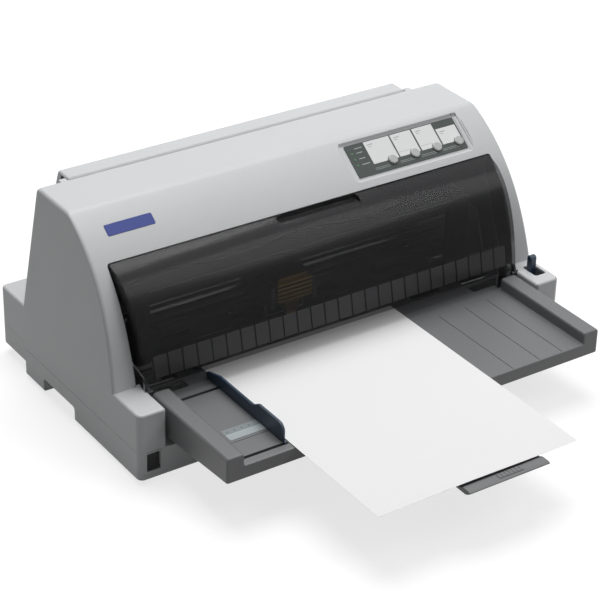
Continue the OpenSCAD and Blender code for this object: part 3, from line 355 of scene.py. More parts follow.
def flared(outline: Array, levels: Sequence[tuple[float, float]]) -> Shell:
    """A surface through rings of an outline, each grown by a level's first value and lying at its second."""
    line = leftward(outline)
    return ring_stack(np.stack([np.insert(inset(line, -grow), 2, level, 1) for grow, level in levels]))


def quarter(radius: float, steps: int) -> tuple[Array, Array]:
    """Insets and heights of a rounded edge: radius (1 - sin) and radius (1 - cos) over a quarter turn.

    Args:
        radius: the edge's radius.
        steps: segments of the quarter turn.
    Returns:
        The insets and the heights.
    """
    if radius <= 0:
        return np.zeros(1), np.zeros(1)
    angle = np.linspace(0, math.pi / 2, steps + 1)
    return radius * (1 - np.sin(angle)), radius * (1 - np.cos(angle))


End = Union[float, Callable[[Array], Array]]


def prism(
    outline: Array,
    start: End,
    end: End,
    along: Along = Along.Z,
    edges: tuple[float, float] = (0, 0),
    steps: int = 4,
) -> Shell:
    """An outline carried along an axis, its end edges rounded by insets that follow a quarter circle.

    Args:
        outline: the closed outline in the two other axes.
        start: the lower end, or a function of a ring's points that gives it for each of them.
        end: the upper end, in the same way.
        along: the axis.
        edges: edge radius at the start and at the end.
        steps: segments of each rounded edge.
    Returns:
        The closed surface.
    """
    line = leftward(np.asarray(outline, float))
    ends = [e if callable(e) else (lambda ring, e=e: np.full(len(ring), float(e))) for e in (start, end)]
    rings = []
    for place, radius, sign in ((ends[0], edges[0], 1), (ends[1], edges[1], -1)):
        depths, rises = quarter(radius, steps)
        side = [along.lift(inset(line, d), place(inset(line, d)) + sign * h) for d, h in zip(depths, rises)]
        rings += side if sign > 0 else side[::-1]
    return ring_stack(np.stack(rings))


def block(low: Sequence[float], high: Sequence[float], edge: float = 0.0, corner: float = 0.0) -> Shell:
    """An upright block between two corners, with rounded upright corners and rounded end edges.

    Args:
        low: the corner with the least X, Y and Z.
        high: the opposite corner.
        edge: radius of the end edges.
        corner: radius of the upright corners.
    Returns:
        The block's surface.
    """
    corners = rectangle(low[0], high[0], low[1], high[1])
    outline = rounded(corners, max(corner, edge + CORNER_MARGIN), 4) if corner else np.asarray(corners, float)
    return prism(outline, low[2], high[2], Along.Z, (edge, edge), 2)


def rod(x0: float, x1: float, radius: float, y: float, z: float, edge: float = 0.0) -> Shell:
    """A round bar along X."""
    return prism(disc(y, z, radius), x0, x1, Along.X, (edge, edge), 2)


def lathe(profile: Sequence[tuple[float, float]], steps: int = 48) -> Shell:
    """Rings of the radii and heights in profile about the third axis, through a full turn."""
    return ring_stack(np.stack([np.insert(disc(0, 0, r, steps), 2, h, 1) for r, h in profile]))


class Work(Enum):
    """What an exact Boolean modifier does with a shell."""

    ADD = "UNION"
    CUT = "DIFFERENCE"


@dataclass
class Blank:
    """A solid being worked: a first shell, then shells added to it or cut out of it, in order."""

    base: Shell
    steps: list[tuple[Work, Shell]] = field(default_factory=list)

    def add(self, *shells: Shell) -> "Blank":
        """Joins shells to the solid."""
        self.steps += [(Work.ADD, shell) for shell in shells]
        return self

    def cut(self, *shells: Shell) -> "Blank":
        """Cuts shells out of the solid."""
        self.steps += [(Work.CUT, shell) for shell in shells]
        return self

    def object(self, name: str) -> bpy.types.Object:
        """Works all the steps with exact Boolean modifiers and keeps the result as the object's mesh.

        Args:
            name: the new piece's name.
        Returns:
            The worked piece.
        """
        obj = self.base.object(name)
        tools = []
        for work, shell in self.steps:
            tools.append(shell.object(name + "_tool"))
            modifier = obj.modifiers.new(work.value, "BOOLEAN")
            modifier.operation = work.value
            modifier.solver = "EXACT"
            modifier.object = tools[-1]
        bpy.context.view_layer.update()
        graph = bpy.context.evaluated_depsgraph_get()
        worked = bpy.data.meshes.new_from_object(obj.evaluated_get(graph))
        obj.modifiers.clear()
        obj.data = worked
        for tool in tools:
            bpy.data.meshes.remove(tool.data)
        mend = bmesh.new()
        mend.from_mesh(worked)
        bmesh.ops.remove_doubles(mend, verts=mend.verts, dist=CUT_WELD)
        bmesh.ops.dissolve_degenerate(mend, edges=mend.edges, dist=CUT_WELD)
        mend.to_mesh(worked)
        mend.free()
        return obj


# ---------- finishes ----------

Value = Union[float, Colour, "Wire"]
Owner = Union[bpy.types.Material, bpy.types.World]


class Wire:
    """A node's output socket; arithmetic on it adds Math nodes."""

    def __init__(self, board: "Board", socket: bpy.types.NodeSocket) -> None:
        """Keeps the socket and the board that it is on."""
        self.board, self.socket = board, socket

    def out(self, name: Union[int, str]) -> "Wire":
        """Another output of the same node."""
        return Wire(self.board, self.socket.node.outputs[name])

    def math(self, operation: str, *values: Value) -> "Wire":
        """A Math node of that operation on these values."""
        return self.board.node("ShaderNodeMath", {"operation": operation}, dict(enumerate(values)))

    def __add__(self, other: Value) -> "Wire":
        """Sum."""
        return self.math("ADD", self, other)

    def __sub__(self, other: Value) -> "Wire":
        """Difference."""
        return self.math("SUBTRACT", self, other)

    def __rsub__(self, other: Value) -> "Wire":
        """Difference, with the wire taken away."""
        return self.math("SUBTRACT", other, self)

    def __mul__(self, other: Value) -> "Wire":
        """Product."""
        return self.math("MULTIPLY", self, other)

    def __truediv__(self, other: Value) -> "Wire":
        """Quotient."""
        return self.math("DIVIDE", self, other)

    def __rtruediv__(self, other: Value) -> "Wire":
        """Quotient, with the wire below."""
        return self.math("DIVIDE", other, self)

    def __gt__(self, other: Value) -> "Wire":
        """One where the wire is greater."""
        return self.math("GREATER_THAN", self, other)

    def __lt__(self, other: Value) -> "Wire":
        """One where the wire is less."""
        return self.math("LESS_THAN", self, other)

    __radd__ = __add__
    __rmul__ = __mul__

    def either(self, other: Value) -> "Wire":
        """The greater of both, which joins two masks."""
        return self.math("MAXIMUM", self, other)

    def within(self, low: float, high: float) -> "Wire":
        """One between two values and zero outside."""
        return (self > low) * (self < high)


class Board:
    """The node tree of one material or world."""

    def __init__(self, owner: Owner) -> None:
        """Switches its owner's nodes on and empties the tree.

        Args:
            owner: the material or world whose nodes the board holds.
        """
        owner.use_nodes = True
        self.owner, self.tree = owner, owner.node_tree
        self.tree.nodes.clear()

    def node(self, kind: str, settings: Optional[dict] = None, inputs: Optional[dict] = None) -> Wire:
        """Adds a node.

        Args:
            kind: the node's type.
            settings: its attributes, set first.
            inputs: values or wires of its sockets, by name or number.
        Returns:
            Its first enabled output.
        """
        node = self.tree.nodes.new(kind)
        for key, value in (settings or {}).items():
            setattr(node, key, value)
        for key, value in (inputs or {}).items():
            socket = node.inputs[key]
            if isinstance(value, Wire):
                self.tree.links.new(value.socket, socket)
            elif isinstance(value, tuple) and socket.type == "RGBA":
                socket.default_value = (*value, 1)
            else:
                socket.default_value = value
        return Wire(self, next(s for s in node.outputs if s.enabled))

    def place(self) -> Wire:
        """Object coordinates."""
        return self.node("ShaderNodeTexCoord").out("Object")

    def noise(self, where: Wire, scale: float, detail: float = 2.0, rough: float = 0.5) -> Wire:
        """A noise from 0 to 1, with scale features in a metre."""
        inputs = {"Vector": where, "Scale": scale, "Detail": detail, "Roughness": rough}
        return self.node("ShaderNodeTexNoise", {}, inputs)

    def around(self, centre: float, *swings: tuple[Wire, float]) -> Wire:
        """A value that varies about its centre: each noise times its swing, less half of all the swings."""
        first, *others = (noise * swing for noise, swing in swings)
        return sum(others, first) + (centre - sum(swing for _, swing in swings) / 2)

    def mix(self, factor: Value, a: Value, b: Value) -> Wire:
        """Colour a turned to b by factor."""
        return self.node("ShaderNodeMix", {"data_type": "RGBA"}, {0: factor, 6: a, 7: b})

    def bump(self, height: Value, strength: float, distance: float) -> Wire:
        """A normal bent by a height, with distance in metres."""
        inputs = {"Strength": strength, "Distance": distance, "Height": height}
        return self.node("ShaderNodeBump", {}, inputs)

    def stretch(self, where: Wire, scale: tuple[float, float, float]) -> Wire:
        """Coordinates times a scale for each axis."""
        return self.node("ShaderNodeVectorMath", {"operation": "MULTIPLY"}, {0: where, 1: scale})

    def surface(self, tone: Value, rough: Value, normal: Wire, more: Optional[dict] = None) -> Wire:
        """A Principled shader, with more sockets given by name."""
        inputs = {"Base Color": tone, "Roughness": rough, "Normal": normal, **(more or {})}
        return self.node("ShaderNodeBsdfPrincipled", {}, inputs)

    def finish(self, shader: Wire, output: str = "ShaderNodeOutputMaterial") -> Owner:
        """Joins the shader to an output node and hands out the material or world.

        Args:
            shader: the last shader.
            output: the kind of output node.
        Returns:
            The board's material or world.
        """
        end = self.tree.nodes.new(output)
        self.tree.links.new(shader.socket, end.inputs["Surface"])
        return self.owner


MADE: dict[str, bpy.types.Material] = {}


def scaled(colour: Colour, share: float) -> Colour:
    """The colour times a share."""
    return tuple(c * share for c in colour)


def lighter(colour: Colour, amount: float) -> Colour:
    """The colour with an amount added to each channel."""
    return tuple(c + amount for c in colour)


@dataclass(frozen=True)
class Finish:
    """A surface finish, named like the record's material slot that it dresses."""

    slot: str
    colour: Colour
    roughness: float = 0.5

    def material(self) -> bpy.types.Material:
        """The finish's material, made once.

        Returns:
            The new material.
        """
        key = f"{self.slot}_{type(self).__name__}_{self.colour[0]:.3f}"
        if key not in MADE:
            board = Board(bpy.data.materials.new(key))
            MADE[key] = board.finish(self.shader(board))
        return MADE[key]

    def shader(self, board: Board) -> Wire:
        """The finish's nodes."""
        raise NotImplementedError


@dataclass(frozen=True)
class Moulded(Finish):
    """Injection-moulded plastic: a fine spark-eroded grain, faint flow clouds and a satin sheen."""

    grain: float = 0.16
    grain_scale: float = 2100.0
    clouds: float = 0.045
    sheen: float = 0.5
    cloud_scale: float = 14.0
    fleck_scale: float = 320.0
    wear_scale: float = 60.0
    grain_depth: float = 0.00005
    refraction: float = 1.5

    def shader(self, board: Board) -> Wire:
        """Tone follows wide clouds, roughness a middle noise and the bump a fine one.

        Args:
            board: the board that the nodes go on.
        Returns:
            The shader's output.
        """
        where = board.place()
        cloud, fleck = board.noise(where, self.cloud_scale, 3.0), board.noise(where, self.fleck_scale, 2.0)
        fine, wear = board.noise(where, self.grain_scale, 2.0, 0.6), board.noise(where, self.wear_scale, 2.0)
        low, high = scaled(self.colour, 1 - self.clouds), scaled(self.colour, 1 + self.clouds)
        tone = board.mix(cloud * 0.7 + fleck * 0.3, low, high)
        rough = board.around(self.roughness, (wear, 0.08), (fine, 0.05))
        normal = board.bump(fine, self.grain, self.grain_depth)
        return board.surface(tone, rough, normal, {"Specular IOR Level": self.sheen, "IOR": self.refraction})


@dataclass(frozen=True)
class Smoked(Finish):
    """Smoked clear plastic, polished outside, with fine moulding waves; heights are in metres."""

    cover: float = 0.54
    band_cover: float = 0.40
    band_top: float = 0.1035
    # The tone turns paler towards the upper edge between the two rise heights: a painted sheen on the curved
    # top
    pale: Colour = (0.055, 0.055, 0.058)
    painted_sheen_rise: tuple[float, float] = (0.136, 0.170)
    wave_scale: float = 22.0
    haze_scale: float = 260.0
    wave_depth: float = 0.0001
    refraction: float = 1.27

    def shader(self, board: Board) -> Wire:
        """Near-black and partly clear: clearer in the band below band_top, and paler towards the upper edge
        as a painted sheen.

        Args:
            board: the board that the nodes go on.
        Returns:
            The shader's output.
        """
        where = board.place()
        wave, haze = board.noise(where, self.wave_scale, 2.0), board.noise(where, self.haze_scale, 2.0)
        height = board.node("ShaderNodeSeparateXYZ", {}, {0: where}).out("Z")
        rough = board.around(self.roughness, (wave, 0.04), (haze, 0.03))
        # The clearer band lets the pale strip behind the ribs show through, which paints the paper's light in
        # the lower band
        band = height < self.band_top
        alpha = board.around(self.cover, (wave, 0.03)) - band * (self.cover - self.band_cover)
        # Painted sheen: the tone lifts towards the pale colour with height near the upper edge
        rise = {"Value": height, "From Min": self.painted_sheen_rise[0], "From Max": self.painted_sheen_rise[1]}
        lift = board.node("ShaderNodeMapRange", {"interpolation_type": "SMOOTHSTEP"}, rise)
        tone = board.mix(lift, self.colour, self.pale)
        normal = board.bump(wave, 0.03, self.wave_depth)
        return board.surface(tone, rough, normal, {"Alpha": alpha, "IOR": self.refraction})


@dataclass(frozen=True)
class Metal(Finish):
    """Rolled or ground metal: streaks along one axis and small tone changes."""

    streaks: tuple[float, float, float] = (40.0, 900.0, 900.0)
    stain_scale: float = 30.0
    streak_depth: float = 0.00005

    def shader(self, board: Board) -> Wire:
        """A noise stretched along the grain drives tone, roughness and a shallow bump.

        Args:
            board: the board that the nodes go on.
        Returns:
            The shader's output.
        """
        where = board.place()
        streak = board.noise(board.stretch(where, self.streaks), 1.0, 3.0)
        stain = board.noise(where, self.stain_scale, 3.0)
        tone = board.mix(streak * 0.5 + stain * 0.5, scaled(self.colour, 0.82), self.colour)
        rough = board.around(self.roughness, (streak, 0.14), (stain, 0.08))
        return board.surface(tone, rough, board.bump(streak, 0.08, self.streak_depth), {"Metallic": 1.0})


@dataclass(frozen=True)
class Rubber(Finish):
    """Matt rubber with ground marks round it and a dusty bloom."""

    bloom_scale: float = 45.0
    ground_scale: float = 1500.0
    ground_depth: float = 0.00008

    def shader(self, board: Board) -> Wire:
        """Bloom lightens the tone in clouds; a fine noise is the ground surface.

        Args:
            board: the board that the nodes go on.
        Returns:
            The shader's output.
        """
        where = board.place()
        bloom, ground = board.noise(where, self.bloom_scale, 4.0), board.noise(where, self.ground_scale, 2.0)
        tone = board.mix(bloom, self.colour, lighter(self.colour, 0.025))
        rough = board.around(self.roughness, (ground, 0.1))
        return board.surface(tone, rough, board.bump(ground, 0.35, self.ground_depth))


@dataclass(frozen=True)
class Paper(Finish):
    """Plain white paper: short fibres in tone and bump."""

    fibre_scales: tuple[float, float] = (500.0, 2600.0)
    fibre_depth: float = 0.00005

    def shader(self, board: Board) -> Wire:
        """Two noises stretched across each other stand for the fibres.

        Args:
            board: the board that the nodes go on.
        Returns:
            The shader's output.
        """
        where, (coarse, fine) = board.place(), self.fibre_scales
        along = board.noise(board.stretch(where, (coarse, fine, 1.0)), 1.0, 2.0)
        across = board.noise(board.stretch(where, (fine, coarse, 1.0)), 1.0, 2.0)
        fibre = along * 0.5 + across * 0.5
        tone = board.mix(fibre, scaled(self.colour, 0.975), self.colour)
        rough = board.around(self.roughness, (fibre, 0.06))
        return board.surface(tone, rough, board.bump(fibre, 0.12, self.fibre_depth))


@dataclass(frozen=True)
class Woven(Finish):
    """Inked ribbon cloth or a toothed belt: a fine two-way weave."""

    pitch: float = 0.0006
    # About how many bands, each half a wave wide, a wave texture of scale 1 has in a metre
    bands: float = 6.3
    weave_depth: float = 0.0001

    def shader(self, board: Board) -> Wire:
        """Two crossed sets of bands, one band for each pitch, make the weave's tone and bump.

        Args:
            board: the board that the nodes go on.
        Returns:
            The shader's output.
        """
        where, scale = board.place(), 1 / self.pitch / self.bands
        warp, weft = (
            board.node("ShaderNodeTexWave", {"bands_direction": axis}, {"Vector": where, "Scale": scale})
            for axis in "XY"
        )
        weave = warp.out("Fac") * weft.out("Fac")
        tone = board.mix(weave, self.colour, lighter(self.colour, 0.03))
        rough = weave * 0.1 + self.roughness
        return board.surface(tone, rough, board.bump(weave, 0.3, self.weave_depth))


@dataclass(frozen=True)
class Laminate(Finish):
    """A circuit board: solder mask over a grid of tracks, with pale pads."""

    pad_tone: Colour = (0.62, 0.62, 0.58)
    pad_scale: float = 190.0
    pad_reach: float = 0.12
    track_scale: float = 90.0
    track_gap: float = 0.03
    track_depth: float = 0.00005

    def shader(self, board: Board) -> Wire:
        """Cell edges stand for tracks and small cells for pads.

        Args:
            board: the board that the nodes go on.
        Returns:
            The shader's output.
        """
        where = board.place()
        pads = {"Vector": where, "Scale": self.pad_scale}
        tracks = {"Vector": where, "Scale": self.track_scale}
        pads = board.node("ShaderNodeTexVoronoi", {"distance": "CHEBYCHEV", "feature": "F1"}, pads)
        tracks = board.node("ShaderNodeTexBrick", {}, {**tracks, "Mortar Size": self.track_gap}).out("Fac")
        cells = pads.out("Distance")
        mask = board.mix(tracks, self.colour, scaled(self.colour, 1.6))
        tone = board.mix(cells < self.pad_reach, mask, self.pad_tone)
        rough = cells * 0.1 + self.roughness
        return board.surface(tone, rough, board.bump(tracks, 0.2, self.track_depth))


@dataclass(frozen=True)
class Print:
    """One printed box on a panel, in metres of the panel's own map: its sides and its colour."""

    left: float
    right: float
    low: float
    high: float
    colour: Colour


def printed(boxes: Sequence[tuple[float, float, float, float, Colour]]) -> tuple[Print, ...]:
    """Printed boxes from sides in millimetres."""
    return tuple(Print(a * MM, b * MM, c * MM, d * MM, colour) for a, b, c, d, colour in boxes)


@dataclass(frozen=True)
class Printed(Finish):
    """A printed film under a satin laminate; its boxes follow the piece's own map, whose unit is a metre."""

    boxes: tuple[Print, ...] = ()
    sheen: float = 0.3
    cloud_scale: float = 120.0
    grain_scale: float = 2600.0
    grain_depth: float = 0.00004

    def shader(self, board: Board) -> Wire:
        """Each box is a mask, one between its sides and zero outside, that turns the film to its colour.

        Args:
            board: the board that the nodes go on.
        Returns:
            The shader's output.
        """
        where = board.place()
        panel = board.node("ShaderNodeUVMap", {"uv_map": "panel"})
        spot = board.node("ShaderNodeSeparateXYZ", {}, {0: panel})
        u, v = spot.out("X"), spot.out("Y")
        cloud, fine = board.noise(where, self.cloud_scale, 2.0), board.noise(where, self.grain_scale, 2.0)
        tone = board.mix(cloud, scaled(self.colour, 0.93), scaled(self.colour, 1.07))
        for box in self.boxes:
            mask = u.within(box.left, box.right) * v.within(box.low, box.high)
            tone = board.mix(mask, tone, box.colour)
        rough = board.around(self.roughness, (fine, 0.08))
        normal = board.bump(fine, 0.1, self.grain_depth)
        return board.surface(tone, rough, normal, {"Specular IOR Level": self.sheen})


# ---------- dressing ----------

CASE_GREY = Moulded("case_grey", (0.60, 0.613, 0.622), 0.46)
TRAY_GREY = Moulded("tray_grey", (0.160, 0.163, 0.168), 0.42, grain=0.22)
DEEP_BLUE = Moulded("deep_blue", (0.020, 0.042, 0.075), 0.34, grain=0.1)
BLACK_PLASTIC = Moulded("black_plastic", (0.018, 0.019, 0.021), 0.42, clouds=0.1)
# Painted light: paler copies of black plastic for inner parts, so that they show though little light reaches
# them behind the smoked cover
INNER_BLACK_PAINTED_LIGHT = Moulded("black_plastic", (0.034, 0.035, 0.038), 0.46, clouds=0.1)
INNER_GREY_PAINTED_LIGHT = Moulded("black_plastic", (0.11, 0.112, 0.118), 0.42, clouds=0.1)
BUTTON_GREY = Moulded("button_grey", (0.46, 0.47, 0.47), 0.38, grain=0.08)
NYLON = Moulded("nylon", (0.66, 0.64, 0.58), 0.42, grain=0.06)
MOTOR_GREY = Moulded("motor_grey", (0.08, 0.085, 0.09), 0.36)
BADGE_BLUE = Printed("badge_blue", (0.050, 0.072, 0.300), 0.3)
SMOKE = Smoked("smoked", (0.014, 0.014, 0.015), 0.14)
# Painted light: a pale grey for the strip behind the cover's ribs, standing in for the white paper's light in
# the lower band
PAINTED_LIGHT_GREY = Moulded("button_grey", (0.38, 0.38, 0.39), 0.5)
DECK_GREY = Moulded("button_grey", (0.42, 0.42, 0.41), 0.5)
# Painted shade: a darker copy of black plastic for the rocker, which takes back the light that it reflects
SWITCH_BLACK_PAINTED_SHADE = Moulded("black_plastic", (0.009, 0.009, 0.010), 0.55, clouds=0.1, sheen=0.2)
SHEET_STEEL = Metal("sheet_steel", (0.56, 0.57, 0.58), 0.36)
BRIGHT_STEEL = Metal("bright_steel", (0.74, 0.75, 0.76), 0.2)
BRASS = Metal("brass_wheel", (0.72, 0.5, 0.2), 0.3)
HEAD_GOLD = Metal("head_gold", (0.46, 0.31, 0.11), 0.34)
ROLLER_RUBBER = Rubber("roller_rubber", (0.018, 0.018, 0.019), 0.7)
FOOT_RUBBER = Rubber("foot_rubber", (0.022, 0.022, 0.022), 0.78)
BELT = Woven("belt_rubber", (0.014, 0.014, 0.015), 0.6, pitch=0.002)
RIBBON = Woven("ribbon_cloth", (0.010, 0.010, 0.012), 0.75)
WHITE_PAPER = Paper("sheet_paper", (0.90, 0.90, 0.90), 0.62)
BOARD_GREEN = Laminate("board_green", (0.012, 0.11, 0.045), 0.38)
LAMP_GREEN = Moulded("overlay_green", (0.10, 0.30, 0.13), 0.18, grain=0.02)


def settle(
    obj: bpy.types.Object, body: str, finish: Finish, nodes: Sequence[str] = (), angle: float = 33.0
) -> None:
    """Finishes a piece's shading and joins it to the frame.

    Args:
        obj: the piece, whose place is in its mesh.
        body: the CAD body that it rides on.
        finish: its finish.
        nodes: the CAD nodes that it stands for.
        angle: edges sharper than this many degrees stay sharp.
    """
    mesh = obj.data
    mesh.materials.clear()
    mesh.materials.append(finish.material())
    mesh.polygons.foreach_set("use_smooth", np.ones(len(mesh.polygons), bool))
    mesh.set_sharp_from_angle(angle=math.radians(angle))
    weigh = obj.modifiers.new("flat_faces_stay_flat", "WEIGHTED_NORMAL")
    weigh.keep_sharp = True
    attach(obj, body)
    if nodes:
        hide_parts(*nodes)
    LOG.info("%s: %d faces on %s", obj.name, len(mesh.polygons), body)


def soften(obj: bpy.types.Object, width: float, angle: float = 40.0) -> None:
    """Rounds a piece's sharp edges with a live Bevel of a width in millimetres, cut in two steps.

    Args:
        obj: the piece.
        width: the bevel's width.
        angle: edges sharper than this many degrees are cut.
    """
    bevel = obj.modifiers.new("softened_edges", "BEVEL")
    bevel.width = width * MM
    bevel.segments = 2
    bevel.limit_method = "ANGLE"
    bevel.angle_limit = math.radians(angle)
    bevel.use_clamp_overlap = True


def panel_map(obj: bpy.types.Object, points: Callable[[Array], Array]) -> None:
    """Writes a map named panel: the two coordinates that points() works out for each vertex, in metres.

    Args:
        obj: the piece.
        points: works out the two coordinates in millimetres.
    """
    mesh = obj.data
    coords = np.empty(len(mesh.vertices) * 3)
    mesh.vertices.foreach_get("co", coords)
    corners = np.empty(len(mesh.loops), int)
    mesh.loops.foreach_get("vertex_index", corners)
    flat = points(coords.reshape(-1, 3) / MM - (0, HOME_Y, 0))[corners] * MM
    mesh.uv_layers.new(name="panel").data.foreach_set("uv", flat.ravel())


# ---------- the case ----------


@dataclass
class Case:
    """Upper housing with its corner blocks and rear part, and the lower case on its feet."""

    half_width: float = 240.0
    height: float = 210.0
    seam: float = 32.2
    groove: float = 0.45
    wall: float = 2.8
    past: float = 3.0
    block_depth: float = 45.0
    block_width: float = 28.5
    block_height: float = 72.3
    block_reach: float = 14.0
    block_corners: tuple[float, ...] = (3.2, 6.0, 0.0, 0.0)
    top_edge: float = 2.6
    low_edge: float = 2.2
    lean: float = 10.4
    main_depth: float = 219.4
    depth: float = 274.5
    back_slope_from: float = 80.5
    back_lean: float = 8.0
    back_top: tuple[float, float] = (194.5, 204.0)
    back_round: float = 6.0
    side_round: float = 3.6
    corner: float = 3.6
    least_corner: float = 0.6
    sweep_head: tuple[float, float] = (138.0, 1.0)
    foot_pull: tuple[float, float] = (66.0, 78.0)
    head_pull: tuple[float, float] = (60.0, 27.0)
    top_from: float = 142.0
    slope_at: float = 0.8485
    rear_half: float = 234.7
    rear_height: float = 73.4
    rear_floor: float = 9.4
    rear_corners: tuple[float, ...] = (0.0, 0.0, 5.0, 5.0)
    channel_half: float = 165.0
    channel_levels: tuple[float, float] = (34.2, 82.0)
    cover_hole_half: float = 216.5
    cover_hole_top: float = 175.8
    cover_hole_back: float = 122.0
    cheek: tuple[float, float] = (1.2, 24.0)
    mouth: tuple[float, float] = (48.0, 86.0)
    rear_gap: tuple[float, float] = (-196.8, 189.8)
    rear_gap_from: tuple[float, float] = (198.1, 77.4)
    boss_width: float = 7.5
    boss_low: tuple[float, float] = (196.0, 202.7)
    boss_high: tuple[float, float] = (204.6, 208.9)
    foot_height: float = 3.0
    foot_places: tuple[float, float, float] = (22.0, 22.0, 205.0)
    floor_wall: float = 2.6
    notch: tuple[float, float] = (120.0, 181.0)
    notch_height: float = 17.6
    notch_depth: float = 32.0
    switch_hole: tuple[float, float, float] = (-233.3, -217.7, 11.7)
    lever_slot: tuple[float, float, float, float] = (222.0, 235.0, 15.0, 36.0)
    panel_middle: float = 131.0
    pocket: tuple[float, float] = (142.0, 43.0)
    pocket_floor: float = -2.4
    pocket_back: tuple[float, float] = (146.0, 47.0)
    badge_middle: float = -179.6
    badge_recess: tuple[float, float] = (49.5, 12.1)
    buttons: tuple[float, ...] = (109.6, 136.4, 163.2, 190.0)
    button_v: float = -8.6
    button_hole: float = 5.35
    # The left, right, lower and upper sides of the openings for the rear sockets
    ports: tuple[tuple[float, ...], ...] = (
        (-190.0, -162.0, 12.0, 31.6),
        (60.0, 118.0, 13.4, 25.5),
        (140.0, 153.0, 13.4, 25.5),
    )

    @property
    def sweep(self) -> Cubic:
        """The front sweep, up to the top face's front edge; each end's pull is a length and an angle.

        Returns:
            The curve from the blocks' top to the top face.
        """
        foot = (self.block_depth, self.block_height)
        head = (self.sweep_head[0], self.height - self.sweep_head[1])
        (foot_y, foot_z), (head_y, head_z) = (
            (length * math.cos(math.radians(angle)), length * math.sin(math.radians(angle)))
            for length, angle in (self.foot_pull, self.head_pull)
        )
        return Cubic(foot, (foot[0] + foot_y, foot[1] + foot_z), (head[0] - head_y, head[1] - head_z), head)

    @property
    def slope(self) -> Slope:
        """The flat frame of the badge and the control panel."""
        return Slope(self.sweep, self.slope_at)

    def front(self, z: Array, depth: float) -> Array:
        """Y of the front over height: upright below the sweep, then the sweep moved inwards by depth.

        Args:
            z: the heights.
            depth: how far the front is moved inwards.
        Returns:
            Y at each height.
        """
        line = self.sweep.inside(np.linspace(0, 1, 300), depth)
        line = np.vstack([line, [self.top_from + depth, self.height - depth]])
        return np.where(z < self.block_height, self.block_depth + depth, np.interp(z, line[:, 1], line[:, 0]))

    def back(self, z: Array) -> Array:
        """Y of the back over height: upright, then leaning forwards, then a quarter round into the top.

        Args:
            z: the heights.
        Returns:
            Y at each height.
        """
        (y0, z0), lean = self.back_top, math.radians(self.back_lean)
        lean_end = (y0 + self.back_round * math.cos(lean), z0 + self.back_round * math.sin(lean))
        slope = np.interp(z, [self.back_slope_from, lean_end[1]], [self.main_depth, lean_end[0]])
        arc = y0 + np.sqrt(np.maximum(self.back_round**2 - np.maximum(z - z0, 0) ** 2, 0))
        return np.where(z > lean_end[1], arc, slope)

    def half(self, z: Array) -> Array:
        """Half width over height: upright up to the blocks' top, then leaning inwards."""
        rise = np.maximum(z - self.block_height, 0)
        return self.half_width - self.lean * rise / (self.height - self.block_height)

    def ring(self, z: float, side: float, depth: float) -> Array:
        """One level of the main body: a rounded rectangle between its front, back and sides.

        Args:
            z: the level's height.
            side: how far the top's rounded side edges have come in at this height.
            depth: how far the whole ring is moved inwards.
        Returns:
            The ring's points, one row each.
        """
        half = float(self.half(np.array(z))) - side - depth
        front, back = float(self.front(np.array(z), depth)), float(self.back(np.array(z))) - depth
        corner = max(self.corner - depth, self.least_corner)
        return np.insert(rounded(rectangle(-half, half, front, back), corner, 5), 2, z, 1)

    def main_body(self) -> Shell:
        """The solid main body: rings from the seam up the sweep, with the top's side edges rounded.

        Returns:
            The solid.
        """
        sweep = self.sweep.at(np.linspace(0, 1, 44))[1:, 1]
        start = self.height - self.side_round
        angle = np.linspace(0, math.pi / 2, 8)
        tops, sides = start + self.side_round * np.sin(angle), self.side_round * (1 - np.cos(angle))
        low = [(self.seam, self.groove), (self.seam + self.groove, 0.0), (self.block_height, 0.0)]
        middle = [(z, 0.0) for z in sweep if z < start - 0.4]
        levels = low + middle + list(zip(tops, sides))
        return ring_stack(np.stack([self.ring(z, side, 0) for z, side in levels]))

    def hollow(self) -> Shell:
        """The main body's hollow: the same rings, one wall further in.

        Returns:
            The cutter.
        """
        sweep = self.sweep.inside(np.linspace(0, 1, 30), self.wall)[1:, 1]
        levels = [self.seam - self.past, self.block_height, *sweep, self.height - self.wall]
        return ring_stack(np.stack([self.ring(z, 0.0, self.wall) for z in levels]))

    def blocks(self) -> Shell:
        """Both corner blocks, reaching into the main body's front wall.

        Returns:
            Both blocks.
        """
        x0, x1 = self.half_width - self.block_width, self.half_width
        outline = rounded(rectangle(x0, x1, 0, self.block_depth + self.block_reach), self.block_corners, 6)
        edges = (self.groove, self.top_edge)
        return prism(outline, self.seam, self.block_height, Along.Z, edges, 5).both_sides()

    def block_hollows(self) -> Shell:
        """The blocks' hollows, which reach a little further back than the blocks.

        Returns:
            Both cutters.
        """
        x0, x1 = self.half_width - self.block_width + self.wall, self.half_width - self.wall
        back, top = self.block_depth + self.block_reach + 2, self.block_height - self.wall
        return block((x0, self.wall, self.seam - self.past), (x1, back, top), 0, 1.5).both_sides()

    def cheeks(self) -> Shell:
        """Walls at both sides of the cover opening: the band behind the sweep, carried along X.

        Returns:
            Both walls.
        """
        t = np.linspace(0.0, 0.93, 24)
        outline = np.vstack([self.sweep.inside(t, self.cheek[0]), self.sweep.inside(t[::-1], self.cheek[1])])
        outline = outline[outline[:, 1] < self.cover_hole_top + 12]
        return prism(outline, self.cover_hole_half, self.cover_hole_half + self.wall, Along.X).both_sides()

    def pocket_cut(self) -> Shell:
        """The panel's pocket: rings that grow from its floor to the curved surface and flare to a soft lip.

        Each level is a growth and a height, which is 0 at the floor and 1 on the surface.

        Returns:
            The cutter.
        """
        outline = leftward(rounded(centred(*self.pocket), 5.0, 6) + (self.panel_middle, 0))
        levels = [(-1.2, 0.0), (-0.5, 0.1), (0.0, 0.28), (0.1, 0.5), (0.45, 0.8), (1.1, 0.97)]
        rings = []
        for grow, rise in levels + [(2.0, 1.04), (2.2, 4.0)]:
            ring = inset(outline, -grow)
            skin = self.slope.height(ring[:, 1])
            rings.append(np.insert(ring, 2, self.pocket_floor + (skin - self.pocket_floor) * rise, 1))
        return ring_stack(np.stack(rings)).mapped(self.slope.place)

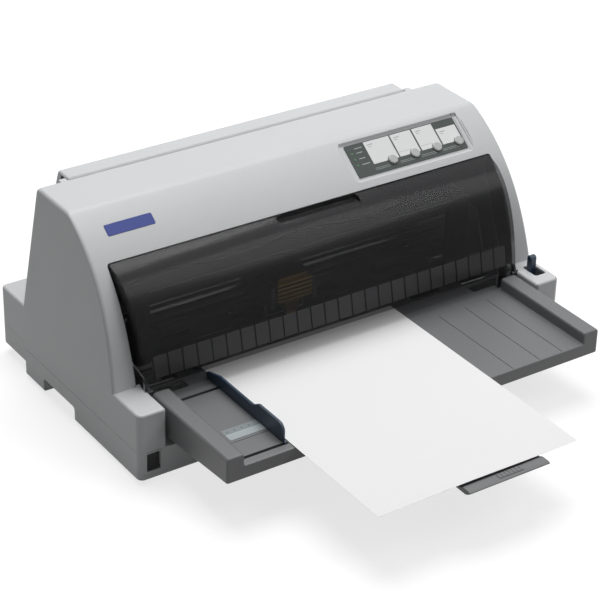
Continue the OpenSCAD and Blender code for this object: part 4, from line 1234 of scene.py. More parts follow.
    def pocket_walls(self) -> tuple[Shell, Shell]:
        """Wedges that turn the pocket's upper and right walls into broad slants, lowest beside the film.

        Returns:
            The upper and the right cutter.
        """
        half, high, past = self.pocket[0] / 2, self.pocket[1] / 2, self.past
        top = [(18.3, past), (18.3, -4.6), (18.7, -4.6), (high + 1.2, -1.0), (high + 1.2, past)]
        side = [(65.8, past), (65.8, -4.2), (66.2, -4.2), (half + 1.0, -0.2), (half + 1.0, past)]
        upper = prism(top, self.panel_middle - half + 1.5, self.panel_middle + half + 0.6, Along.X)
        right = prism(side, -high + 0.6, high + 0.8, Along.Y).shifted(self.panel_middle)
        return upper.mapped(self.slope.place), right.mapped(self.slope.place)

    def slope_block(
        self, x: float, size: tuple[float, float], w: tuple[float, float], corner: float
    ) -> Shell:
        """A rounded plate or cutter on the slope: its middle, its width and height, and its two levels.

        Args:
            x: the middle.
            size: the width and the height up the slope.
            w: the levels of its two faces.
            corner: radius of its corners.
        Returns:
            The plate, placed on the slope.
        """
        width, height = size
        outline = rounded(rectangle(x - width / 2, x + width / 2, -height / 2, height / 2), corner, 5)
        return prism(outline, *w).mapped(self.slope.place)

    def button_holes(self, radius: float, w: tuple[float, float]) -> Shell:
        """Four round cutters at the buttons' places."""
        shifts = np.array([(x, self.button_v, 0.0) for x in self.buttons])
        return prism(disc(0, 0, radius, 40), *w).copies(shifts).mapped(self.slope.place)

    def rear_outline(self, overlap: float) -> Array:
        """The rear part seen from above, reaching into the main body by an overlap."""
        sides = rectangle(-self.rear_half, self.rear_half, self.main_depth - overlap, self.depth)
        return rounded(sides, self.rear_corners, 6)

    def bosses(self) -> list[Shell]:
        """The blocks beside the rear gap that hold the rear cover's pins.

        Returns:
            The right and the left block.
        """
        left, right, width = *self.rear_gap, self.boss_width
        ends = ((right, right + width), (left - width, left))
        return [block((x0, *self.boss_low), (x1, *self.boss_high), 0.8, 1.6) for x0, x1 in ends]

    def front_openings(self) -> list[Shell]:
        """Cutters for the paper mouth between the corner blocks and for the front cover's opening.

        Returns:
            The cutters, one surface each.
        """
        half, low, top = self.half_width - self.block_width, self.block_height + 0.02, self.cover_hole_top
        mouth = rounded(rectangle(-half, half, *self.mouth), [2.0, 2.0, 0, 0], 4)
        x0, x1 = self.cover_hole_half, self.cover_hole_half + 0.4
        opening = rounded([(-x0, low), (x0, low), (x1, top), (-x1, top)], [0, 0, 3.0, 3.0], 5)
        return [
            prism(mouth, self.block_depth - 3, self.block_depth + 4, Along.Y),
            prism(opening, -6, self.cover_hole_back, Along.Y),
        ]

    def rear_openings(self) -> list[Shell]:
        """Cutters for the tractor channel, open to the back, and for the gap that the rear cover closes.

        Returns:
            The cutters, one surface each.
        """
        low, high = self.channel_levels
        front, back = self.main_depth - 6, self.depth + 5
        channel = block((-self.channel_half, front, low), (self.channel_half, back, high), 0, 0.8)
        left, right = self.rear_gap
        gap_end = (right, self.main_depth + 6, self.height + self.past)
        return [channel, block((left, *self.rear_gap_from), gap_end, 0, 1.2)]

    def upper(self) -> bpy.types.Object:
        """The upper housing, worked from its main body.

        Returns:
            The piece, placed in the frame.
        """
        lever = rounded(rectangle(*self.lever_slot), 2.4, 5)
        flare = [(0.0, 67.0), (0.0, 71.6), (0.35, 72.1), (1.0, 72.35), (1.4, 76.0)]
        edges = (self.groove, self.top_edge)
        blank = Blank(self.main_body()).add(self.blocks())
        blank.add(prism(self.rear_outline(12.0), self.seam, self.rear_height, Along.Z, edges, 5))
        blank.cut(self.hollow(), self.block_hollows())
        blank.add(self.slope_block(self.panel_middle, self.pocket_back, (-6.4, -2.25), 3.0), self.cheeks())
        blank.cut(*self.front_openings(), *self.rear_openings()).add(*self.bosses())
        blank.cut(self.pocket_cut(), *self.pocket_walls())
        blank.cut(self.slope_block(self.badge_middle, self.badge_recess, (-0.55, 4.0), 1.5))
        blank.cut(self.button_holes(self.button_hole, (-9.5, self.past)), flared(lever, flare))
        return blank.object("housing_shell")

    def lower_hollow(self) -> list[Shell]:
        """Cutters for the inside of the lower case, which keeps a wall round each hand notch.

        Returns:
            The cutters, one surface each.
        """
        half, wall, top = self.half_width, self.wall, self.seam + 2
        inner, notch = half - wall, half - self.notch_depth - wall
        y0, y1, back = self.notch[0] - wall, self.notch[1] + wall, self.main_depth - wall
        side = [(inner, wall), (inner, y0), (notch, y0), (notch, y1), (inner, y1), (inner, back)]
        outline = np.array(side + [(-x, y) for x, y in side[::-1]])
        rear = self.rear_half - wall
        return [
            prism(outline, self.foot_height + self.floor_wall, top, Along.Z),
            block((-rear, back - 6, 12), (rear, self.depth - wall, top)),
        ]

    def hand_notches(self) -> Shell:
        """Cutters for both hand notches, whose ceiling is rounded.

        Returns:
            Both cutters.
        """
        x0, x1, top = self.half_width - self.notch_depth, self.half_width + 5, self.notch_height
        hand = rounded(rectangle(x0, x1, *self.notch), 4.0, 5)
        return flared(hand, [(0.0, -1.0), (0.0, top - 3.0), (-0.9, top - 0.9), (-3.0, top)]).both_sides()

    def lower(self) -> bpy.types.Object:
        """The lower case with its hand notches, switch opening and rear ports.

        Returns:
            The piece, placed in the frame.
        """
        half, edges = self.half_width, (self.low_edge, self.groove)
        main = rounded(rectangle(-half, half, 0, self.main_depth), [6.0, 6.0, 3.0, 3.0], 6)
        left, right, low = self.switch_hole
        switch = block((left, -3, low), (right, 8, self.seam + self.past), 0, 0.8)
        blank = Blank(prism(main, self.foot_height, self.seam, Along.Z, edges, 5))
        blank.add(prism(self.rear_outline(14.0), self.rear_floor, self.seam, Along.Z, edges, 5))
        blank.cut(*self.lower_hollow(), self.hand_notches(), switch)
        for port in self.ports:
            outline = rounded(rectangle(*port), 1.0, 4)
            blank.cut(prism(outline, self.depth - self.wall - 2, self.depth + self.past, Along.Y))
        return blank.object("lower_case_shell")

    def feet(self) -> bpy.types.Object:
        """Four feet: turned discs with a rounded lower edge and a shallow ring groove.

        Returns:
            The piece, placed in the frame.
        """
        groove = [(3.5, 0.0), (4.0, 0.35), (4.5, 0.0)]
        rim = [(8.1, 0.0), (8.75, 0.25), (9.0, 0.9), (9.0, 3.05)]
        side, *rows = self.foot_places
        shifts = [(x * (self.half_width - side), y, 0) for x in (-1, 1) for y in rows]
        foot = lathe([(0.01, 0.0), *groove, *rim, (0.01, 3.05)])
        return foot.copies(np.array(shifts)).object("rubber_foot_set")

    def build(self) -> None:
        """Builds and dresses the case."""
        settle(self.upper(), "root", CASE_GREY, ("upper_housing", "corner_blocks", "rear_housing"))
        settle(self.lower(), "root", CASE_GREY, ("lower_case",))
        settle(self.feet(), "root", FOOT_RUBBER, ("rubber_feet",))


# ---------- the covers ----------


@dataclass
class FrontCover:
    """The smoked front cover with its grip recess, ribs and hinge ears."""

    low_half: float = 211.0
    spread: float = 4.7
    wall: float = 2.4
    edge: float = 1.5
    grip: tuple[float, float, float] = (92.0, 10.0, 6.0)
    grip_middle: float = 8.0
    grip_at: float = 0.955
    pan_wall: float = 2.0
    rib_pitch: float = 15.5
    last_rib: int = 13
    rib_half: float = 0.7
    rib_span: tuple[float, float] = (0.045, 0.24)
    rib_depths: tuple[float, float] = (0.06, 0.7)
    band_span: tuple[float, float] = (0.05, 0.225)
    band_depths: tuple[float, float] = (0.75, 1.6)
    hinge: tuple[float, float] = (33.5, 70.5)
    ear: tuple[float, float] = (208.75, 211.15)
    face: Cubic = Cubic((33.0, 75.0), (38.0, 110.0), (53.0, 166.0), (92.0, 175.0))
    # Points of the cover's rear outline and of its hollow's, beside the curve
    rear: tuple[tuple[float, float], ...] = ((39, 75.0), (57, 85.0), (95, 166.0))
    hollow_ends: tuple[tuple[float, float], ...] = ((132, 171.0), (93, 77.4))

    def half(self, ring: Array) -> Array:
        """Half width over height, growing straight from the lower to the upper edge."""
        low, high = self.face.foot[1], self.face.head[1]
        return self.low_half + self.spread * (ring[:, 1] - low) / (high - low)

    def shell(self) -> bpy.types.Object:
        """The cover: its side outline carried across with rounded ends, hollowed from behind.

        Returns:
            The piece, placed in the frame.
        """
        t = np.linspace(1, 0, 34)
        outline = np.vstack([self.face.at(t), self.rear])
        inner = np.vstack([self.hollow_ends[:1], self.face.inside(t, self.wall), self.hollow_ends[1:]])
        outer = prism(outline, lambda r: -self.half(r), self.half, Along.X, (self.edge, self.edge), 5)
        left, right = lambda r: self.wall - self.half(r), lambda r: self.half(r) - self.wall
        hollow = prism(inner, left, right, Along.X, (1.2, 1.2), 3)
        slope = Slope(self.face, self.grip_at)
        width, height, depth = self.grip
        middle = (self.grip_middle, 0)
        recess = rounded(centred(width, height), 3.5, 6) + middle
        floor = [(-1.5, -depth), (-0.4, 0.6 - depth), (0.0, 1.8 - depth)]
        cutter = flared(recess, [*floor, (0.0, -1.0), (0.3, -0.35), (1.0, 0.02), (1.3, 9.0)])
        pan = rounded(centred(width + 2 * self.pan_wall, height + 2 * self.pan_wall), 4.0, 5) + middle
        pan = prism(pan, -depth - self.pan_wall, -1.2, Along.Z, (1.5, 0), 3).mapped(slope.place)
        return Blank(outer).cut(hollow).add(pan).cut(cutter.mapped(slope.place)).object("cover_glass")

    def lining(self, span: tuple[float, float], depths: tuple[float, float]) -> Array:
        """Outline of a strip behind the cover's face, between two places on its curve and two depths.

        Args:
            span: the two places on the curve.
            depths: the two distances behind the cover's inner face.
        Returns:
            The outline's points.
        """
        t = np.linspace(*span, 8)
        near, far = (self.wall + depth for depth in depths)
        return np.vstack([self.face.inside(t, near), self.face.inside(t[::-1], far)])

    def ribs(self) -> Shell:
        """Upright ribs just behind the lower band, one every pitch.

        Returns:
            All ribs.
        """
        outline = self.lining(self.rib_span, self.rib_depths)
        places = np.arange(-self.last_rib, self.last_rib + 1) * self.rib_pitch
        rib = prism(outline, -self.rib_half, self.rib_half, Along.X, (0.2, 0.2), 2)
        return rib.copies(np.stack([places, places * 0, places * 0], 1))

    def band(self) -> Shell:
        """A pale strip behind the ribs, which shows between them as a row of lighter fields: painted light
        that stands in for the white paper's light in the lower band.
        """
        end = self.last_rib * self.rib_pitch + 0.5
        return prism(self.lining(self.band_span, self.band_depths), -end, end, Along.X, (0.2, 0.2), 2)

    def ears(self) -> Shell:
        """Hinge ears: plates with a round foot at the pin that reach up to the cover's lower edge.

        Returns:
            Both ears.
        """
        y, z = self.hinge
        corners = [(y - 4.2, z - 4.0), (y + 4.2, z - 4.0), (y + 5.0, z + 8.4), (y + 1.0, z + 8.4)]
        outline = rounded(corners, [3.9, 3.9, 0.5, 0.5], 8)
        return prism(outline, *self.ear, Along.X, (0.3, 0.3), 2).both_sides()

    def build(self) -> None:
        """Builds and dresses the cover."""
        settle(self.shell(), "front_cover", SMOKE, ("front_cover",))
        settle(self.ribs().object("cover_ribs"), "front_cover", INNER_BLACK_PAINTED_LIGHT)
        settle(self.band().object("cover_painted_light_band"), "front_cover", PAINTED_LIGHT_GREY)
        settle(self.ears().object("cover_ears"), "front_cover", INNER_BLACK_PAINTED_LIGHT)


@dataclass
class RearCover:
    """The rear cover over the tractors, in the case's colour."""

    ends: tuple[float, float] = (-196.0, 189.0)
    wall: float = 2.5
    edge: float = 2.4
    top: float = 210.0
    foot: float = 78.6
    back: float = 267.0
    round_at: tuple[float, float] = (217.6, 205.6)
    radius: float = 4.4
    chamfer: float = 1.4
    front: float = 199.4
    hinge_plate: tuple[float, float, float] = (214.0, 203.3, 208.4)

    def outline(self, depth: float) -> Array:
        """The leaning back and the quarter round into the top, moved in by depth, from the foot upwards.

        Args:
            depth: how far the line is moved inwards.
        Returns:
            The line's points.
        """
        turn = np.linspace(math.radians(17), math.pi / 2, 12)
        (y, z), radius = self.round_at, self.radius - depth
        arc = np.stack([y + radius * np.cos(turn), z + radius * np.sin(turn)], 1)
        return np.vstack([[(self.back - depth, self.foot + 9.4)], arc])

    def build(self) -> None:
        """Builds and dresses the cover."""
        y, top, chamfer, wall = self.front, self.top, self.chamfer, self.wall
        front = [(y + chamfer, top), (y, top - chamfer), (y, 205.0), (206.0, 150.0), (213.0, self.foot)]
        foot = [(self.back - chamfer, self.foot), (self.back, self.foot + chamfer)]
        outer = np.vstack([self.outline(0), front, foot])
        inside = [(190.0, top - wall), (190.0, 72.0), (self.back - wall, 72.0)]
        inner = np.vstack([self.outline(wall), inside])
        left, right = self.ends
        blank = Blank(prism(outer, left, right, Along.X, (self.edge, self.edge), 5))
        blank.cut(prism(inner, left + wall, right - wall, Along.X, (1.0, 1.0), 3))
        back, low, high = self.hinge_plate
        for x in (left, right - wall):
            plate = rounded(rectangle(y, back, low, high), 1.2, 3)
            blank.add(prism(plate, x, x + wall, Along.X))
        settle(blank.object("rear_cover_shell"), "rear_cover", CASE_GREY, ("rear_cover",))


# ---------- the paper tray ----------


@dataclass
class Tray:
    """The front tray with its extension, edge guide, scale strip and sheet."""

    half: float = 208.4
    rim_inner: float = 190.4
    front: float = -95.5
    back: float = 30.0
    floor: float = 59.0
    rim: float = 71.0
    rim_radii: tuple[float, ...] = (2.4, 3.2, 2.8, 1.6)
    end_edges: tuple[float, float] = (2.0, 0.4)
    # Height of the underside at the front edge and at the block faces
    under: tuple[float, float] = (45.3, 35.6)
    wall: float = 2.4
    slots: tuple[float, float] = (-85.0, 23.0)
    slot_ends: tuple[float, float] = (-189.5, -139.0)
    slot_half: float = 1.8
    grooves: tuple[float, ...] = (106.0, 137.5, 165.0)
    groove_width: float = 0.8
    groove_end: float = 20.0
    cross_groove: tuple[float, float] = (-60.6, -60.0)
    groove_depth: float = 0.5
    lip_end: float = 40.0
    lug: tuple[tuple[float, float], ...] = ((8.0, 40.0), (26.0, 50.0))
    lug_end: float = 211.5
    extension: tuple[float, float] = (-50.5, 37.5)
    shelf: float = 52.4
    mouth_top: float = 56.55
    side_gap: float = 0.4
    plate_levels: tuple[float, float] = (52.8, 56.2)
    plate_back: float = -70.0
    bar_front: float = -230.5
    grip_lines: int = 6
    grip_pitch: float = 4.0
    guide_faces: tuple[float, float] = (-143.3, -140.3)
    paper: tuple[float, float, float, float] = (-138.3, 77.6, -219.0, 60.4)
    paper_top: float = 59.8
    paper_thickness: float = 0.12
    paper_lift: float = 0.7
    paper_waves: float = 1.2
    strip: tuple[float, float, float, float] = (-180.0, -143.0, -56.5, -39.5)

    def slant(self, points: Array) -> Array:
        """Lifts low points by an amount that grows from nothing at the block faces to the front edge's.

        Args:
            points: rows of X, Y and Z.
        Returns:
            The moved rows.
        """
        moved = points.copy()
        rise = np.interp(points[:, 1], [self.front, 0], [self.under[0] - self.under[1], 0])
        share = np.clip((self.floor - points[:, 2]) / (self.floor - self.under[1]), 0, 1)
        moved[:, 2] += rise * share
        return moved

    def solid(self) -> Shell:
        """One cross-section with soft rims, carried back from the front edge.

        Returns:
            The solid.
        """
        right = [(self.half, self.under[1]), (self.half, self.rim), (self.rim_inner, self.rim)]
        right.append((self.rim_inner, self.floor))
        section = right + [(-x, z) for x, z in right[::-1]]
        outline = rounded(section, [*self.rim_radii, *self.rim_radii[::-1]], 5)
        return prism(outline, self.front, self.back, Along.Y, self.end_edges, 5).mapped(self.slant)

    def body(self) -> bpy.types.Object:
        """The tray, hollowed from below: the extension's mouth, slots, grooves, a lip and two lugs.

        Returns:
            The piece, placed in the frame.
        """
        half, inner, wall, floor = self.half, self.rim_inner, self.wall, self.floor
        left, right = self.slot_ends
        x0, x1 = self.extension
        blank = Blank(self.solid())
        under = (-half + wall, self.front + wall, 20), (half - wall, self.back + 2, floor - wall)
        blank.cut(block(*under, 0, 1.5))
        mouth = rectangle(x0 - self.side_gap, x1 + self.side_gap, self.shelf, self.mouth_top)
        blank.cut(prism(rounded(mouth, 0.8, 3), self.front - 3, self.front + wall + 2, Along.Y))
        for y in self.slots:
            blank.cut(block((left, y - self.slot_half, 50), (right, y + self.slot_half, floor + 2), 0, 0.5))
        low, high = floor - self.groove_depth, floor + 2
        for x in self.grooves:
            blank.cut(block((x, self.front + 1.5, low), (x + self.groove_width, self.groove_end, high)))
        blank.cut(block((left, self.cross_groove[0], low), (right, self.cross_groove[1], high)))
        blank.add(block((-inner, self.back - 2, floor - wall), (inner, self.lip_end, floor - 0.02), 0.3))
        blank.add(block((half - 1, *self.lug[0]), (self.lug_end, *self.lug[1]), 0.4).both_sides())
        return blank.object("tray_body")

    def ledges(self) -> Shell:
        """Two rails under the floor that carry the extension plate.

        Returns:
            Both rails.
        """
        (x0, x1), gap, shelf = self.extension, self.side_gap, self.shelf
        low, top, out, within = 49.8, 56.5, 4, 6
        left = [(x0 - out, low), (x0 + within, low), (x0 + within, shelf), (x0 - gap, shelf)]
        left += [(x0 - gap, top), (x0 - out, top)]
        right = [(x1 + out, low), (x1 + out, top), (x1 + gap, top), (x1 + gap, shelf)]
        right += [(x1 - within, shelf), (x1 - within, low)]
        ends = (self.front + self.wall + 0.3, 18.0)
        return prism(left, *ends, Along.Y) + prism(right, *ends, Along.Y)

    def slot_wells(self) -> Shell:
        """Shallow channels that close both cross slots from below.

        Returns:
            Both channels.
        """
        (x0, x1), half, inner, low, base, top = self.slot_ends, 5.0, 4.2, 51.2, 52.0, 56.4
        outline = [(-half, top), (-half, low), (half, low), (half, top)]
        outline += [(inner, top), (inner, base), (-inner, base), (-inner, top)]
        channel = prism(outline, x0 - 0.6, x1 + 0.6, Along.X)
        return channel.copies(np.array([(0.0, y, 0.0) for y in self.slots]))

    def extension_plate(self) -> bpy.types.Object:
        """The sliding plate with its cross bar and a raised grip pad that is cut by fine lines.

        Returns:
            The piece, placed in the frame.
        """
        (x0, x1), y, low = self.extension, self.bar_front, self.plate_levels[0]
        bar = [(y, 56.4), (y + 6, low), (y + 13, low), (y + 13, 57), (y + 10, 58.2), (y + 3, 58.2), (y, 57.4)]
        bar = rounded(bar, [0.45, 1.2, 0.8, 0.8, 1.5, 1.5, 0.45], 3)
        plate = rounded(rectangle(x0, x1, y + 4, self.plate_back), 3.0, 4)
        blank = Blank(prism(bar, x0, x1, Along.X, (0.4, 0.4), 3))
        blank.add(prism(plate, *self.plate_levels, Along.Z, (0.5, 0.5), 3))
        blank.add(block((x0 + 35, y + 3, 57), (x1 - 26, y + 9.5, 59), 0.5, 1.2))
        shifts = np.arange(self.grip_lines)[:, None] * np.array([[self.grip_pitch, 0, 0]])
        blank.cut(block((x0 + 37.8, y + 2, 58.6), (x0 + 39.0, y + 11, 60)).copies(shifts))
        return blank.object("extension_bar")

    def guide(self) -> bpy.types.Object:
        """The edge guide: a thin upright fin, raised in front, with a stem and a foot in each slot.

        Returns:
            The piece, placed in the frame.
        """
        x0, x1 = self.guide_faces
        side = [(-83, 59.5), (44, 59.5), (44, 65.5), (22, 71.6), (-34, 71.6), (-43, 77), (-83, 77)]
        side = rounded(side, [1.0, 1.5, 3.0, 8.0, 6.0, 6.0, 8.0], 6)
        blank = Blank(prism(side, x0, x1, Along.X, (0.9, 0.9), 3))
        for y in self.slots:
            blank.add(block((x0 + 0.4, y - 1.4, 53.4), (x1 - 0.4, y + 1.4, 60.2)))
            blank.add(block((x0 - 4, y - 3.2, 53), (x1 - 0.2, y + 3.2, 55), 0.3))
        return blank.object("edge_guide_fin")

    def sheet(self) -> Shell:
        """The sheet: a thin grid whose free front lifts by under a millimetre in one slow wave.

        Returns:
            The sheet's surface.
        """
        x0, x1, y0, y1 = self.paper
        u, v = np.linspace(0, 1, 60), np.linspace(0, 1, 80)
        x, y = np.meshgrid(x0 + (x1 - x0) * u, y0 + (y1 - y0) * v)
        free = np.clip((self.front - y) / (self.front - y0), 0, 1)
        wave = 1 - np.cos(2 * math.pi * (x - x0) / (x1 - x0) * self.paper_waves)
        lift = self.paper_lift * free**2 * wave / 2
        top = np.stack([x, y, self.paper_top + lift], 2)
        low = np.stack([x, y, self.paper_top - self.paper_thickness + lift], 2)
        return ring_stack(np.concatenate([low, top[:, ::-1]], 1))

    def strip_prints(self) -> tuple[Print, ...]:
        """Two tones: a paler half in front, a thin line between them and short marks in the darker half.

        Returns:
            The boxes of the strip's print.
        """
        pale, mark, line = (0.40, 0.44, 0.46), (0.13, 0.15, 0.16), (0.52, 0.56, 0.58)
        boxes = [(-180.0, -143.0, -56.5, -48.2, pale), (-180.0, -143.0, -48.2, -47.7, line)]
        boxes += [(-176.5 + i * 7.5, -174.8 + i * 7.5, -44.7, -42.8, mark) for i in range(4)]
        boxes += [(-178.0 + i * 2.5, -177.6 + i * 2.5, -47.4, -46.2, mark) for i in range(14)]
        return printed(boxes)

    def label(self) -> None:
        """The scale strip beside the slots, on the tray's floor."""
        x0, x1, y0, y1 = self.strip
        strip = block((x0, y0, self.floor), (x1, y1, self.floor + 0.2), 0.05, 1.0).object("scale_label")
        panel_map(strip, lambda points: points[:, :2])
        finish = Printed("label_grey", (0.26, 0.29, 0.30), 0.4, self.strip_prints())
        settle(strip, "root", finish, ("scale_strip",))

    def build(self) -> None:
        """Builds and dresses the tray's pieces."""
        settle(self.body(), "root", TRAY_GREY, ("front_tray",))
        settle(self.ledges().object("tray_ledges"), "root", TRAY_GREY)
        settle(self.slot_wells().object("slot_wells"), "root", BLACK_PLASTIC)
        settle(self.extension_plate(), "tray_extension", TRAY_GREY, ("tray_extension",))
        settle(self.guide(), "edge_guide", DEEP_BLUE, ("edge_guide",))
        settle(self.sheet().object("paper_page"), "paper_sheet", WHITE_PAPER, ("paper_sheet",))
        self.label()


# ---------- panel, badge and side controls ----------


@dataclass
class Controls:
    """Badge, panel film, buttons and lamps on the slope, and the power switch and release lever."""

    case: Case
    film: tuple[float, float] = (131.0, 36.0)
    film_levels: tuple[float, float] = (-2.38, -1.6)
    film_corner: float = 1.2
    film_hole: float = 5.3
    # Profiles of a button's cap and of a lamp's dome, from below
    cap_radii: tuple[float, ...] = (0.01, 6.2, 6.2, 5.0, 5.0, 4.86, 4.45, 3.6, 2.4, 0.01)
    cap_heights: tuple[float, ...] = (-9.2, -9.2, -8.2, -8.2, -0.6, 0.0, 0.42, 0.56, 0.5, 0.44)
    dome_radii: tuple[float, ...] = (0.01, 1.1, 1.1, 0.9, 0.5, 0.01)
    dome_heights: tuple[float, ...] = (-2.2, -2.2, -1.5, -1.2, -1.05, -1.0)
    bodies: tuple[str, ...] = ("tear_off_button", "font_button", "pause_button", "feed_button")
    badge: tuple[float, float] = (49.0, 11.6)
    lamp_offset: float = -60.5
    lamp_rows: tuple[float, ...] = (8.0, 1.5, -5.0)
    switch: tuple[float, float, float, float] = (-233.0, -218.0, 12.0, 31.5)
    rocker_half: float = 8.4
    lever: tuple[float, float] = (222.8, 230.0)
    lever_pivot: tuple[float, float] = (28.0, 40.0)
    lever_half: float = 3.4
    lever_top: float = 85.0
    lever_hub: float = 5.5
    lever_bore: float = 2.05

    def prints(self) -> tuple[Print, ...]:
        """White fields with dark marks, thin rules, and short marks beside the lamps, from the film's middle.

        Returns:
            The boxes of the film's print.
        """
        white, pale, dark = (0.78, 0.79, 0.79), (0.42, 0.45, 0.44), (0.35, 0.36, 0.37)
        sides = [(-43.2, -13.2, 17.1), (-11.6, 13.0, 17.1), (14.8, 38.8, 17.1), (40.5, 64.0, 9.9)]
        boxes = [(a, b, -7.9, top, white) for a, b, top in sides]
        for a, _, top in sides:
            boxes.append((a + 3.0, a + 9.5, top - 4.2, top - 3.4, dark))
            boxes.append((a + 3.0, a + 7.0, top - 6.4, top - 5.8, dark))
        boxes += [(a, b, -3.1, -2.8, dark) for a, b in ((-10.2, 5.0), (16.5, 30.0))]
        rules = ((-44.0, -27.0), (-14.5, 3.5), (11.0, 29.0), (37.0, 62.0))
        boxes += [(a, b, v, v + 0.35, pale) for v in (-12.6, -14.2) for a, b in rules]
        marks, start = ((13.0, 9.0), (8.0, 7.0), (1.5, 7.0), (-5.0, 9.0)), -55.5
        boxes += [(start, start + length, v - 0.4, v + 0.4, pale) for v, length in marks]
        return printed(boxes)

    def on_film(self, points: Array) -> Array:
        """X from the panel's middle, and v up the slope.

        Args:
            points: rows of X, Y and Z.
        Returns:
            Rows of X and v.
        """
        slope = self.case.slope
        origin, way = slope.curve.at(np.array(slope.t)), slope.curve.direction(np.array(slope.t))
        return np.stack([points[:, 0] - self.case.panel_middle, (points[:, 1:] - origin) @ way], 1)

    def panel(self) -> None:
        """The film with its button holes, four buttons and three lamps."""
        case, low, high = self.case, *self.film_levels
        film = Blank(case.slope_block(case.panel_middle, self.film, (low, high), self.film_corner))
        film.cut(case.button_holes(self.film_hole, (low - 3, high + 3)))
        plate = film.object("panel_film")
        panel_map(plate, self.on_film)
        green = Printed("overlay_green", (0.052, 0.066, 0.062), 0.36, self.prints())
        settle(plate, "root", green, ("panel_overlay",))
        for x, body in zip(case.buttons, self.bodies):
            cap = lathe(list(zip(self.cap_radii, self.cap_heights)), 40).shifted(x, case.button_v)
            cap = cap.mapped(case.slope.place)
            settle(cap.object(body + "_cap"), body, BUTTON_GREY, (body,), angle=50.0)
        shifts = [(case.panel_middle + self.lamp_offset, v, 0) for v in self.lamp_rows]
        dome = lathe(list(zip(self.dome_radii, self.dome_heights)), 20)
        lamps = dome.copies(np.array(shifts)).mapped(case.slope.place).object("panel_lamps")
        settle(lamps, "root", LAMP_GREEN, angle=60.0)

    def badge_plate(self) -> None:
        """The plain badge: a rounded plate with a slightly crowned face."""
        corners = rounded(centred(*self.badge), 1.2, 5)
        plate = flared(corners, [(0.0, -0.5), (0.0, 0.05), (-0.1, 0.2), (-0.35, 0.3)])
        obj = plate.shifted(self.case.badge_middle).mapped(self.case.slope.place).object("badge_face")
        panel_map(obj, self.on_film)
        settle(obj, "root", BADGE_BLUE, ("badge_plate",))

    def power_switch(self) -> None:
        """The switch's frame, and its rocker with a curved front."""
        x0, x1, z0, z1 = self.switch
        outer = rounded(rectangle(x0 - 1, x1 + 1, z0 - 1, z1 + 0.5), 1.2, 5)
        barrel = rounded(rectangle(x0 - 0.15, x1 + 0.15, z0 - 0.15, z1 + 0.1), 0.6, 4)
        well = rounded(rectangle(x0 + 0.3, x1 - 0.3, z0 + 0.3, z1 - 0.3), 0.6, 4)
        blank = Blank(prism(outer, -0.9, 0.05, Along.Y, (0.5, 0), 4))
        blank.add(prism(barrel, -0.2, 22, Along.Y)).cut(prism(well, -3, 12, Along.Y))
        settle(blank.object("switch_frame"), "root", CASE_GREY, ("power_switch_body",))
        middle, half = (z0 + z1) / 2, self.rocker_half
        t = np.linspace(-1, 1, 17)
        face = np.stack([1.9 - 1.5 * np.abs(t) ** 1.6 + np.clip(t, 0, 1) * 0.9, middle + half * t], 1)
        back = [(5.4, middle + half), (7.3, middle + 2.5), (7.3, middle - 2.5), (3.4, middle - half)]
        rocker = prism(np.vstack([face, back]), x0 + 0.8, x1 - 0.8, Along.X, (0.4, 0.4), 3)
        settle(rocker.object("switch_rocker"), "power_rocker", SWITCH_BLACK_PAINTED_SHADE, ("power_rocker",))

    def release_lever(self) -> None:
        """The lever: a blade with a round head, on a bored hub."""
        (x0, x1), (y, z), half = self.lever, self.lever_pivot, self.lever_half
        turn = np.linspace(0, math.pi, 15)
        head = np.stack([y + half * np.cos(turn), self.lever_top + half * np.sin(turn)], 1)
        blade = prism(np.vstack([[(y - half, z), (y + half, z)], head]), x0, x1, Along.X, (1.1, 1.1), 4)
        blank = Blank(blade).add(rod(x0, x1, self.lever_hub, y, z, 0.4))
        blank.cut(rod(x0 - 2, x1 + 2, self.lever_bore, y, z))
        settle(blank.object("lever_blade"), "release_lever", DEEP_BLUE, ("release_lever",))

    def build(self) -> None:
        """Builds and dresses the controls."""
        self.badge_plate()
        self.panel()
        self.power_switch()
        self.release_lever()


# ---------- the mechanism ----------


